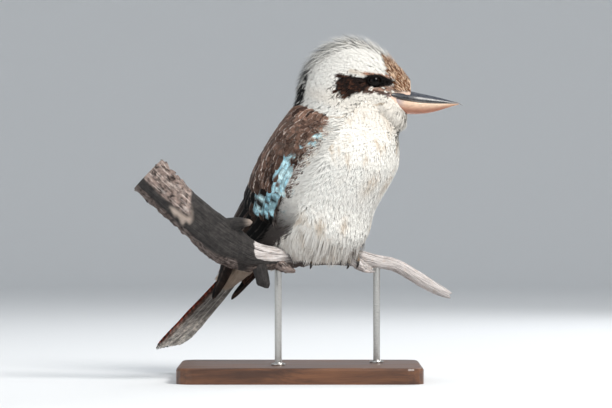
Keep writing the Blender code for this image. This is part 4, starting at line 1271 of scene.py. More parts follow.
# Shares of a blade's length where it has a ring of three vertices, its point last, and its widths at the rings
STATIONS = np.array([0.0, 0.4, 0.74, 1.0])
BLADE_TAPER = np.array([0.6, 1.0, 0.76])
BLADE_SIDES = [
    face
    for k in (0, 3)
    for a, b in ((0, 2), (2, 1), (1, 0))
    for face in ((k + a, k + b, k + b + 3), (k + a, k + b + 3, k + a + 3))
]
BLADE_FACES = np.array([(0, 1, 2), *BLADE_SIDES, (6, 8, 9), (8, 7, 9), (7, 6, 9)])
PATCH = 0.003


@dataclass
class Blades:
    """Fine blades in tufts, each a closed strip of three sides that ends in a point."""

    seed: int
    shell: Shell = field(default_factory=Shell)
    ridge: float = 0.14
    facing: float = 0.2
    steps: int = 8

    def __post_init__(self) -> None:
        """Seeds the tufts' own differences."""
        self.rng = np.random.default_rng(self.seed)

    def lay(
        self, paths: Array, outs: Array, widths: Array, tints: Array, roots: Array, shade: Array,
        tips: Optional[Array] = None, roll: float = 6.0,
    ) -> None:
        """Adds tufts of blades.

        Args:
            paths: Each blade's line, shaped (tufts, blades, stations, 3).
            outs: The directions away from the body there, shaped alike.
            widths: Half of each blade's width, shaped (tufts, blades).
            tints: Their colours, shaped (tufts, blades, 3).
            roots: Each tuft's place on the unwrapped skin, shaped (tufts, 2).
            shade: How much warm patches show, shaped (tufts,).
            tips: The colours of their ends, shaped as tints, where they differ.
            roll: How far blades turn about their own lines, in degrees.
        """
        count, per_tuft, stations = paths.shape[:3]
        lines = unit(np.gradient(paths, axis=2))
        side = unit(np.cross(lines, outs))
        over = np.cross(side, lines)
        angle = np.radians(self.rng.uniform(-roll, roll, (count, per_tuft)))[:, :, None, None]
        side, over = side * np.cos(angle) + over * np.sin(angle), over * np.cos(angle) - side * np.sin(angle)
        half = (widths[..., None] * BLADE_TAPER)[..., None]
        middle, side, over = paths[:, :, :-1], side[:, :, :-1], over[:, :, :-1]
        rings = np.stack([middle - side * half, middle + side * half, middle + over * half * self.ridge], 3)
        points = np.concatenate([rings.reshape(count, per_tuft, -1, 3), paths[:, :, -1:]], 2)
        share = np.append(np.repeat(STATIONS[:-1], 3), 1.0)
        # Painted shade between the tufts: each blade is a little darker towards its root
        colours = tints[:, :, None] * (0.92 + 0.08 * np.minimum(share * 1.6, 1))[:, None]
        if tips is not None:
            colours = blend(colours, tips[:, :, None], np.broadcast_to(ease(0.3, 0.7, share), points.shape[:3]))
        across = np.append(np.tile([0.0, 1.0, 0.5], stations - 1), 0.5)
        blade = (np.arange(per_tuft)[:, None] + 0.1 + 0.8 * across) / per_tuft
        bake = roots[:, None, None] + (np.stack([blade, np.broadcast_to(share, blade.shape)], -1) * PATCH)[None]
        faces = BLADE_FACES[None] + (np.arange(count * per_tuft) * len(share))[:, None, None]
        shades = np.broadcast_to(shade[:, None, None], points.shape[:3])
        base = np.broadcast_to(outs, paths.shape)
        flat, lean = base[:, :, :-1], self.facing * side
        facing = np.stack([flat - lean, flat + lean, flat], 3)
        facing = np.concatenate([facing.reshape(count, per_tuft, -1, 3), base[:, :, -1:]], 2)
        self.shell.add(
            points, faces.reshape(-1, 3), Tint=colours, Shade=shades, Facing=facing,
            Map_OFBake=np.broadcast_to(bake, points.shape[:3] + (2,)),
        )

    def over_form(
        self, form: Form, u: Array, v: Array, length: Any, half_width: Any, blade: Any, depth: Any,
        blades: int = 9, lift: Any = 0.8, drift: Any = 0.0, hang: Any = 0.0,
        tint: Painter = Markings.tint, tip: Optional[Painter] = None, hem: Optional[Callable[[Array], Array]] = None,
    ) -> None:
        """Adds tufts that lie back along a form. A size is one number, or one for each tuft.

        Args:
            form: The surface that they lie on.
            u: Where each tuft is rooted along the form.
            v: Where it is rooted round it.
            length: Its length.
            half_width: Half of its width.
            blade: Half of one blade's width.
            depth: How far under the form its root lies.
            blades: How many blades it has.
            lift: How high over the form its tip stands.
            drift: How far it leans towards larger v, as a share of its length.
            hang: How far its tip falls straight down.
            tint: Gives its colours for u, v and a chance.
            tip: Gives the colours of the blades' ends in the same way.
            hem: Gives the lowest height for feathers at points of the row's frame.
        """
        rng, t, steps = self.rng, STATIONS, self.steps
        sizes = (length, half_width, blade, depth, drift, hang, lift)
        length, half_width, blade, depth, drift, hang, lift = (
            np.broadcast_to(np.asarray(size, float), u.shape) for size in sizes
        )
        lines = [(u, v)]
        for _ in range(steps):
            along, around = form.strides(*lines[-1])
            lines.append((lines[-1][0] - length / steps / along, lines[-1][1] + drift * length / steps / around))
        line_u, line_v = (np.stack(part, -1) for part in zip(*lines))
        kept = np.ones(len(u))
        if hem is not None:
            middle = form.point(line_u, line_v)
            falling = middle[..., 2] - hang[:, None] * (np.arange(steps + 1) / steps) ** 2
            kept = np.cumprod(falling > hem(middle), axis=1).sum(1) / (steps + 1)
        chosen = kept > 0.3
        u, v, length, half_width, blade, depth, hang, lift, line_u, line_v, kept = (
            a[chosen] for a in (u, v, length, half_width, blade, depth, hang, lift, line_u, line_v, kept)
        )
        shape = (len(u), blades)
        across = np.linspace(-1, 1, blades) + rng.uniform(-0.12, 0.12, shape)
        long = kept[:, None] * rng.uniform(0.9, 1.1, (len(u), 1)) * (1 - 0.2 * across**2)
        reach = np.clip((long * rng.uniform(0.88, 1.06, shape))[..., None] * t * steps, 0, steps + 1)
        low = np.minimum(reach.astype(int), steps - 1)
        row = np.arange(len(u))[:, None, None]
        share = reach - low
        place_u = line_u[row, low] * (1 - share) + line_u[row, low + 1] * share
        place_v = line_v[row, low] * (1 - share) + line_v[row, low + 1] * share
        fan = half_width[:, None, None] * across[..., None] * (0.35 + 0.75 * rounded(t)) * (1 - 0.45 * t**3)
        sway = (rng.normal(0, 0.05, (len(u), 1, 1)) + rng.normal(0, 0.03, shape)[..., None]) * reach / steps
        around = form.strides(u, v)[1][:, None, None]
        place_v = place_v + (fan + sway * length[:, None, None]) / around
        rise = lift[:, None, None] * rng.uniform(0.8, 1.2, (len(u), 1, 1)) + rng.normal(0, 0.06, shape)[..., None]
        height = -depth[:, None, None] * (1 - t) ** 1.7 + rise * t**1.4
        outs = form.out(place_u, place_v)
        paths = form.point(place_u, place_v) + outs * height[..., None]
        paths[..., 2] -= (hang * kept)[:, None, None] * t**2 * rng.uniform(0.7, 1.2, shape)[..., None]
        chance = np.clip(rng.uniform(0, 1, (len(u), 1)) + rng.normal(0, 0.1, shape), 0, 1)
        middle = (place_u[..., 2], place_v[..., 2], chance)
        tints = np.minimum(tint(*middle) * rng.uniform(0.95, 1.04, shape)[..., None], 1)
        tips = tip(*middle) if tip else None
        widths = np.broadcast_to(blade[:, None], shape)
        self.lay(paths, outs, widths, tints, self.unwrapped(u, v), Markings.shade(u, v), tips)

    @staticmethod
    def unwrapped(u: Array, v: Array) -> Array:
        """Each tuft's place on the unwrapped skin, from 0 to 1 over the tufts given."""
        pair = np.stack([u, v], -1)
        low, high = pair.min(0), pair.max(0)
        return 0.01 + 0.97 * (pair - low) / np.maximum(high - low, 1e-6)


def rounded(t: Array) -> Array:
    """How far a tuft has fanned out at shares of its length, quickly at first."""
    return np.sin(np.minimum(t * 1.7, 1.57))


def scatter(form: Form, u_range: tuple[float, float], v_range: tuple[float, float], gap: Any) -> tuple[Array, Array]:
    """Places spread evenly over a form.

    Args:
        form: The surface.
        u_range: The lowest and highest u.
        v_range: The lowest and highest v.
        gap: How far apart the places are, or what gives how many there are on a square millimetre at u and v.

    Returns:
        The places' u and v.
    """
    us, vs = np.linspace(*u_range, 181), np.linspace(*v_range, 241)
    points = form.point(us[:, None], vs[None])
    cells = np.cross(points[1:, :-1] - points[:-1, :-1], points[:-1, 1:] - points[:-1, :-1])
    density = gap(*grid((us[1:] + us[:-1]) / 2, (vs[1:] + vs[:-1]) / 2)) if callable(gap) else 1 / gap**2
    weight = np.linalg.norm(cells, axis=-1) * density + 1e-12
    k = np.arange(int(weight.sum()))
    a, b = ((0.5 + k * step) % 1 for step in EVEN_STEPS)
    rows = np.cumsum(weight.sum(1)) / weight.sum()
    row = np.minimum(np.searchsorted(rows, a), len(rows) - 1)
    columns = np.cumsum(weight, 1) / weight.sum(1, keepdims=True)
    column = np.minimum((columns[row] < b[:, None]).sum(1), columns.shape[1] - 1)
    rng = np.random.default_rng(len(k))
    u = us[row] + rng.uniform(0, 1, len(k)) * (us[1] - us[0])
    return u, vs[column] + rng.uniform(0, 1, len(k)) * (vs[1] - vs[0])


def hem(points: Array) -> Array:
    """The lowest height for the loose feathers at points of the row's frame, ragged over the branch."""
    x = points[..., 0]
    ragged = 1.6 * np.sin(x * 0.9) + 1.3 * np.sin(x * 0.37 + 1)
    lowest = np.interp(x, (-90, -50, -32, -18, -11, -5, 0, 40, 60), (60, 96, 112, 113, 118, 125, 126, 124.5, 126))
    ahead = points[..., 1] < np.interp(x, (-20, 0, 30, 60), (-38, -26, -13, -2))
    return np.where(ahead, np.minimum(lowest, HEM_AHEAD), lowest) + ragged


@dataclass
class Eye:
    """One eye, with its lids."""

    side: str
    place: tuple = (37.5, 299.5)
    lid_radius: float = 0.95
    clear_across: float = 7.0
    clear_over: float = 5.6

    def __post_init__(self) -> None:
        """Finds the eye's middle from its solid, and the way that it faces from the head."""
        low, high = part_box(f"eye_{self.side}")
        self.centre = (np.array(low) + np.array(high)) / 2 / MM
        self.radius = float((high - low).x) / 2 / MM
        normal = BODY_FORM.out(*BODY_FORM.locate(*self.place, SIDES[self.side], HEAD_FROM))
        self.facing = unit(normal + 0.8 * turned((0, SIDES[self.side], 0), HEAD_YAW))
        self.across = unit(np.cross((0, 0, 1), self.facing))
        self.over = np.cross(self.facing, self.across)

    def ball(self) -> None:
        """Builds the eyeball, which bulges a little at its front."""
        polar, turn = grid(np.linspace(0.02, math.pi - 0.02, 40), turns(48))
        radius = self.radius - 0.15 + 0.35 * np.exp(-((polar / 0.6) ** 2))
        spokes = np.cos(turn)[..., None] * self.across + np.sin(turn)[..., None] * self.over
        lines = np.cos(polar)[..., None] * self.facing + np.sin(polar)[..., None] * spokes
        shell = Shell()
        rays = np.stack([np.cos(turn), np.sin(turn), polar * 0.3], -1)
        add_lofted(shell, self.centre + radius[..., None] * lines, Polar=polar, Grain=rays)
        show(f"eyeball_{self.side}", shell.mesh("eyeball"), WET_EYE, [f"eye_{self.side}"])

    def lids(self) -> None:
        """Builds the creased ring of the lids."""
        rng = np.random.default_rng(5)
        turn, section = turns(72), turns(12)
        spokes = np.cos(turn)[:, None] * self.across + 0.74 * np.sin(turn)[:, None] * self.over
        middles = self.centre + self.facing * 5.5 + spokes * (6.2 + 0.9 * np.cos(turn) ** 6)[:, None]
        swell = 1 + 0.1 * rng.normal(0, 1, (72, 12))
        out = unit(spokes)[:, None] * np.cos(section)[None, :, None] + self.facing * np.sin(section)[None, :, None]
        rings = middles[:, None] + self.lid_radius * swell[..., None] * out
        shell = Shell()
        shell.add(rings, closed_faces(72, 12)[:, ::-1], Tint=filled((72 * 12,), Tone.BLACK))
        show(f"eyelids_{self.side}", shell.mesh("eyelids"), FOOT_SKIN)

    def clear(self, u: Array, v: Array, length: Array) -> Array:
        """Tells which feathers keep off the eye.

        Args:
            u: Where they are rooted along the body's form.
            v: Where they are rooted round it.
            length: Their lengths.

        Returns:
            1 for a feather that keeps off the eye, and else 0.
        """
        points = BODY_FORM.point(u, v)
        back = -turned((1, 0, 0), HEAD_YAW)
        free = np.ones(np.shape(u))
        for share in (0.0, 0.5, 1.0):
            away = points + back * (length * share)[..., None] - self.centre
            near = (away @ self.across / self.clear_across) ** 2 + (away @ self.over / self.clear_over) ** 2 < 1
            free = np.where(near & (away @ self.facing > 0), 0, free)
        return free

    def build(self) -> None:
        """Builds the eyeball and its lids."""
        self.ball()
        self.lids()


@dataclass
class Bird:
    """The kookaburra's flesh and small feathers."""

    eyes: list[Eye]
    skin_depth: float = 0.74
    voxel: float = 0.0018
    thigh_depth: float = 5.0
    bands: tuple = (
        ("vent", 0.0, 2.6), ("belly", 2.6, 4.6), ("breast", 4.6, 7.0), ("throat", 7.0, 9.4), ("cheeks", 9.4, 11.0),
        ("temples", 11.0, 12.5), ("crown", 12.5, 14.2), ("face", 14.2, 15.98),
    )

    def skin(self) -> None:
        """Builds one skin for the whole bird, inside the coat by its depth, clear of the perch."""
        u, v = grid(np.linspace(0, 15.75, 150), np.arange(112) * 360 / 112)
        depth = spline(GROWING.depth, u) * self.skin_depth
        body = Shell()
        add_lofted(body, BODY_FORM.point(u, v) - BODY_FORM.out(u, v) * depth[..., None], flip=True)
        for side in SIDES.values():
            thigh = Thigh(side)
            u, v = grid(np.linspace(0.1, 8.9, 30), np.arange(36) * 10)
            add_lofted(body, thigh.point(u, v) - thigh.out(u, v) * self.thigh_depth, flip=True)
        made = bpy.data.objects.new("skin", body.mesh("skin"))
        step = made.modifiers.new("one_skin", "REMESH")
        step.mode, step.voxel_size, step.use_smooth_shade = "VOXEL", self.voxel, True
        made.modifiers.new("soften", "SMOOTH").iterations = 4
        final = evaluated(made)
        self.colour_skin(final)
        show("bird_skin", final, COAT, ["torso", "neck", "head", "leg_left", "leg_right"])

    @staticmethod
    def colour_skin(mesh: bpy.types.Mesh) -> None:
        """Gives each point of the skin the markings of the coat's nearest place."""
        u, v = grid(np.linspace(0, 16, 161), np.arange(-180, 180, 3.0))
        places = BODY_FORM.point(u, v) - BODY_FORM.out(u, v) * spline(GROWING.depth, u)[..., None]
        tree = KDTree(u.size)
        for i, spot in enumerate(places.reshape(-1, 3)):
            tree.insert(spot * MM, i)
        tree.balance()
        points = np.empty(len(mesh.vertices) * 3, np.float32)
        mesh.vertices.foreach_get("co", points)
        nearest = np.array([tree.find(p)[1] for p in points.reshape(-1, 3)])
        tint = blend(Markings.tint(u, v, 0.45), Tone.GAPE, Markings.horn(u, v, 11.5))
        Shell.store(mesh, "Tint", tint.reshape(-1, 3)[nearest] * 0.9, nearest)
        Shell.store(mesh, "Shade", Markings.shade(u, v).reshape(-1, 1)[nearest], nearest)

    def density(self, u: Array, v: Array) -> Array:
        """How many tufts stand on a square millimetre of the body, few under the wings and none over the eyes."""
        free = 1 / spline(GROWING.spacing, u) ** 2 * (1 - Markings.horn(u, v, 11.5))
        length = spline(GROWING.length, u)
        for eye in self.eyes:
            free = free * np.where(u > 10.5, eye.clear(u, v, length), 1)
        turn = np.abs(v)
        front, back = spline(WING_FRONT, u + WING_START), spline(WING_BACK, u + WING_START)
        covered = (turn < front - 7) & (turn > back + 9) & (u < 8.0) & (u > 0.3)
        return np.where(covered, free * 0.04, free)

    def coat(self) -> None:
        """Grows the small feathers over the whole bird, in pieces."""
        for number, (name, low, high) in enumerate(self.bands):
            u, v = scatter(BODY_FORM, (low, high), (-180, 180), self.density)
            blades = Blades(40 + number)
            turn = np.abs(v)
            edge = np.exp(-(((turn - spline(WING_FRONT, u + WING_START) - 6) / 9) ** 2)) * (u < 8.2)
            over = np.exp(-(((u - 8.9) / 0.7) ** 2)) * ease(20, 35, turn) * (1 - ease(100, 112, turn))
            lift = np.interp(u, (0, 3, 5, 7, 9, 11, 14, 16), (1.2, 1.6, 0.7, 0.6, 0.7, 0.8, 0.5, 0.2))
            lift = lift + edge * 2.6 + over * 5.0
            hang = np.interp(u, (1.0, 2.2, 3.6, 5.0), (2, 9, 7, 0)) * ease(95, 120, turn)
            blades.over_form(
                BODY_FORM, u, v, spline(GROWING.length, u) * (1 + 0.6 * over), spline(GROWING.half_width, u),
                spline(GROWING.blade, u), spline(GROWING.depth, u), 9 if u.mean() < 12.6 else 7, lift,
                -np.sign(v) * edge * 0.32, hang, hem=hem,
            )
            show(f"coat_{name}", blades.shell.mesh(name), COAT)

    def bib(self) -> None:
        """Grows the throat's feathers, which bridge the hollow between the chin and the breast."""
        blades = Blades(91)
        tint = mixed(Tone.CREAM, Tone.WARM, lambda u, v, chance: 0.3 * ease(2.6, 3.6, u) + 0.12 * chance)
        u, v = scatter(BIB_FORM, (1.6, 4.7), (102, 258), 3.0)
        length = np.interp(u, (1.6, 3.0, 4.0, 4.7), (17, 15, 12, 8))
        blades.over_form(BIB_FORM, u, v, length, 3.2, 0.6, 4.0, 9, 0.35, tint=tint)
        u, v = scatter(BODY_FORM, (12.2, 15.8), (118, 242), 2.5)
        free = Markings.horn(u, v, 0, 2.0) < 0.2
        u, v = u[free], v[free]
        at = (12.2, 14.5, 15.8)
        blades.over_form(
            BODY_FORM, u, v, np.interp(u, at, (14, 13, 8)), 2.0, 0.5, spline(GROWING.depth, u) * 0.8, 7,
            np.interp(u, at, (1.6, 3.4, 2.0)), 0.0, 3.5, tint=tint,
        )
        show("bib_feathers", blades.shell.mesh("bib"), COAT)

    def fringe(self) -> None:
        """Grows the loose strands that hang from the belly over the branch."""
        blades = Blades(97)
        strands = mixed(Tone.CREAM, Tone.TAUPE, lambda u, v, chance: 0.05 + 0.25 * chance)
        u, v = scatter(BODY_FORM, (2.3, 4.1), (104, 178), 4.8)
        for side in SIDES.values():
            hang = blades.rng.uniform(8, 15, len(u))
            blades.over_form(BODY_FORM, u, v * side, 15.0, 2.4, 0.55, 5.0, 7, 3.6, 0.0, hang, strands, hem=hem)
        show("belly_fringe", blades.shell.mesh("fringe"), COAT)

    def flanks(self) -> None:
        """Grows the loose feathers that fall from the breast over each wing's front edge, greyer and with darker tips
        lower down: partly their own colour and partly painted shade under the wing.
        """
        blades = Blades(57)
        low = lambda u: 1 - ease(5.4, 7.2, u)
        tint = mixed(Tone.CREAM, Tone.GREY, lambda u, v, chance: low(u) * (0.35 + 0.4 * chance))
        tip = mixed(Tone.CREAM, Tone.TIP, lambda u, v, chance: np.maximum(
            low(u) * 0.95, (chance > 0.8) * (1 - ease(6.8, 7.6, u)) * 0.4,
        ))
        u, offset = scatter(WING_FORM, (4.0, 10.6), (-3, 9), 1.7)
        length = np.interp(u, (4, 6, 8, 9.6), (19, 17, 14, 9))
        for side in SIDES.values():
            v = side * (spline(WING_FRONT, u) + offset)
            blades.over_form(WING_FORM, u, v, length, 3.0, 0.36, 6.0, 7, 3.4, -0.42 * side, 0.0, tint, tip, hem)
        show("flank_feathers", blades.shell.mesh("flanks"), COAT)

    def crest(self) -> None:
        """Grows the long shaggy feathers of the crown and nape, some with dark tips."""
        u, v = scatter(BODY_FORM, (9.2, 14.4), (-62, 62), 2.8)
        blades = Blades(71)
        middle = 1 - ease(7, 34, np.abs(v))
        at = (9.2, 10.2, 11.2, 12.3, 13.3, 14.4)
        length = np.interp(u, at, (14, 17, 20, 21, 16, 9)) * (0.55 + 0.45 * middle)
        lift = np.interp(u, at, (2.0, 4.2, 7.5, 10.0, 8.0, 3.0)) * (0.07 + 0.93 * middle)
        lift = lift * blades.rng.uniform(0.75, 1.25, len(u))
        dark = lambda u, v, chance: (chance > 0.7) * (u < 12.7) * (1 - ease(5, 10, np.abs(v))) * 0.9
        blades.over_form(
            BODY_FORM, u, v, length, 1.1, 0.44, spline(GROWING.depth, u) * 0.6, 5, lift, v * 0.0015,
            tip=mixed(Markings.tint, Tone.TIP, dark),
        )
        show("crest_plumes", blades.shell.mesh("crest"), COAT)

    def brow(self) -> None:
        """Grows the short erect feathers of the forehead, ginger and dark brown among pale ones."""
        u, v = scatter(BODY_FORM, (13.3, 15.9), (-115, 115), 1.25)
        local = BODY_FORM.local(u, v)
        chosen = Markings.front(local[:, 0], local[:, 2]) > 0.35
        u, v = u[chosen], v[chosen]
        blades = Blades(77)
        umber = mixed(Tone.GINGER, Tone.UMBER, lambda u, v, chance: np.clip(chance * 1.5, 0, 1))
        tint = lambda u, v, chance: np.where((chance < 0.68)[..., None], umber(u, v, chance), rgb(Tone.PEACH))
        tip = lambda u, v, chance: tint(u, v, chance) * np.where(chance < 0.68, 0.62, 1.0)[..., None]
        at = (13.3, 14.5, 15.9)
        length, lift = np.interp(u, at, (8.5, 6.5, 3.6)), np.interp(u, at, (2.0, 2.0, 0.9))
        blades.over_form(BODY_FORM, u, v, length, 0.32, 0.24, 1.0, 3, lift, tint=tint, tip=tip)
        show("brow_feathers", blades.shell.mesh("brow"), COAT)

    def thighs(self) -> None:
        """Grows the loose feathers of the thighs."""
        blades = Blades(83)
        pale = mixed(Tone.CREAM, Tone.TAUPE, lambda u, v, chance: 0.1 + 0.35 * chance)
        for side in SIDES.values():
            thigh = Thigh(side)
            u, v = scatter(thigh, (0.6, 7.5), (-180, 180), 4.4)
            blades.over_form(thigh, u, v, 20.0, 4.2, 0.62, 5.0, 9, 1.0, 0.0, 5.0, pale, hem=hem)
        show("coat_thighs", blades.shell.mesh("thighs"), COAT)

    def build(self) -> None:
        """Builds the bird."""
        for step in (self.skin, self.coat, self.bib, self.fringe, self.flanks, self.crest, self.brow, self.thighs):
            step()


# Vaned feathers of the wings and the tail

VANE_ALONG = np.array([0, 0.12, 0.25, 0.4, 0.54, 0.66, 0.76, 0.84, 0.9, 0.945, 0.975, 1.0])
VANE_WIDTH = np.array([0.28, 0.6, 0.86, 0.97, 1.0, 1.0, 0.98, 0.92, 0.81, 0.66, 0.46, 0.14])
VANE_ACROSS = 9
FLIGHT_FROM = 60


@dataclass
class Vanes:
    """Flat feathers, each a thin closed sheet with a shaft down its middle and a slightly ragged edge."""

    seed: int
    shell: Shell = field(default_factory=Shell)
    ragged: float = 0.05
    sweep: float = 0.25

    def __post_init__(self) -> None:
        """Seeds the feathers' own differences."""
        self.rng = np.random.default_rng(self.seed)

    def lay(
        self, path: Array, side: Array, out: Array, half_width: Array, length: float, tint: Array,
        fringe: Any = 0.6, bars: float = 0.0, under: float = 0.0, camber: float = 0.1, thickness: float = 0.3,
    ) -> None:
        """Adds one feather.

        Args:
            path: Its shaft, with a point for each of VANE_ALONG.
            side: The way across it at each point.
            out: The way away from the body at each point.
            half_width: Half its width at each point.
            length: Its length.
            tint: Its colours, shaped (points, 3) or (points, VANE_ACROSS, 3).
            fringe: How pale its edge is, or that for each point of the sheet.
            bars: How strong its dark bars are.
            under: How pale its under face is.
            camber: How far its edges fall, as a share of half its width.
            thickness: Its thickness at the shaft.
        """
        across, shape = np.linspace(-1, 1, VANE_ACROSS), (len(path), VANE_ACROSS)
        ragged = 1 + np.where(np.abs(across) > 0.9, self.rng.normal(0, self.ragged, shape), 0)
        wide = half_width[:, None] * across * ragged
        drop = -camber * half_width[:, None] * across**2
        swept = self.rng.normal(0, self.sweep, shape) * (np.abs(across) > 0.7)
        sheet = path[:, None] + side[:, None] * wide[..., None] + out[:, None] * drop[..., None]
        sheet = sheet + unit(np.gradient(path, axis=0))[:, None] * swept[..., None]
        thick = out[:, None] * (thickness * (1 - 0.75 * np.abs(across))[None, :, None] / 2)
        points = np.stack([sheet + thick, sheet - thick]).reshape(-1, 3)
        number = np.arange(wide.size).reshape(shape)
        rim = np.concatenate([number[0], number[1:, -1], number[-1, -2::-1], number[-2:0:-1, 0]])
        after = np.roll(rim, -1)
        edge = np.stack([after, rim, rim + wide.size, after + wide.size], -1)
        flat = ring_faces(*shape, closed=False)
        faces = np.concatenate([flat, flat[:, ::-1] + wide.size, edge])
        corner = points[flat[0]]
        if np.dot(np.cross(corner[1] - corner[0], corner[3] - corner[0]), out[0]) < 0:
            faces = faces[:, ::-1]
        along, over = grid(VANE_ALONG, (across + 1) / 2)
        one_face = {
            "Tint": np.broadcast_to(tint if tint.ndim == 3 else tint[:, None], shape + (3,)),
            "Map_Vane": np.stack([over, along], -1), "Along": along * length, "Fringe": fringe * np.ones(shape),
        }
        both = {name: np.stack([value, value]) for name, value in one_face.items()}
        both |= {"Bars": np.full(2 * wide.size, bars), "Under": np.repeat([0.0, under], wide.size)}
        self.shell.add(points, faces, **both)


def wing_uv(share: Any, breadth: Any, sign: int) -> tuple[Array, Array]:
    """u and v on the wing's sheet for shares down its length and across its breadth from the front edge."""
    u = WING_TOP * (1 - np.asarray(share, float))
    front, back = spline(WING_FRONT, u), spline(WING_BACK, u)
    return u, sign * (front + (back - front) * breadth)


def wing_point(share: Any, breadth: Any, sign: int, height: Any = 0.0) -> Array:
    """A point over the wing's sheet."""
    u, v = wing_uv(share, breadth, sign)
    return WING_FORM.point(u, v) + WING_FORM.out(u, v) * np.asarray(height)[..., None]


@dataclass(frozen=True)
class Row:
    """One row of wing feathers.

    root is where they start down the wing, from 0 at the shoulder to 1 at its tip. front and back are the shares of
    its breadth that the row covers. wide is half of a feather's width as a share of the room that it has.
    """

    root: float
    front: float
    back: float
    count: int
    length: float
    wide: float
    dark: float
    fringe: float

    @property
    def step(self) -> float:
        """The share of the wing's breadth from one feather to the next."""
        return (self.back - self.front) / self.count

    @property
    def short(self) -> bool:
        """Whether these are coverts, and not flight feathers."""
        return self.length < FLIGHT_FROM


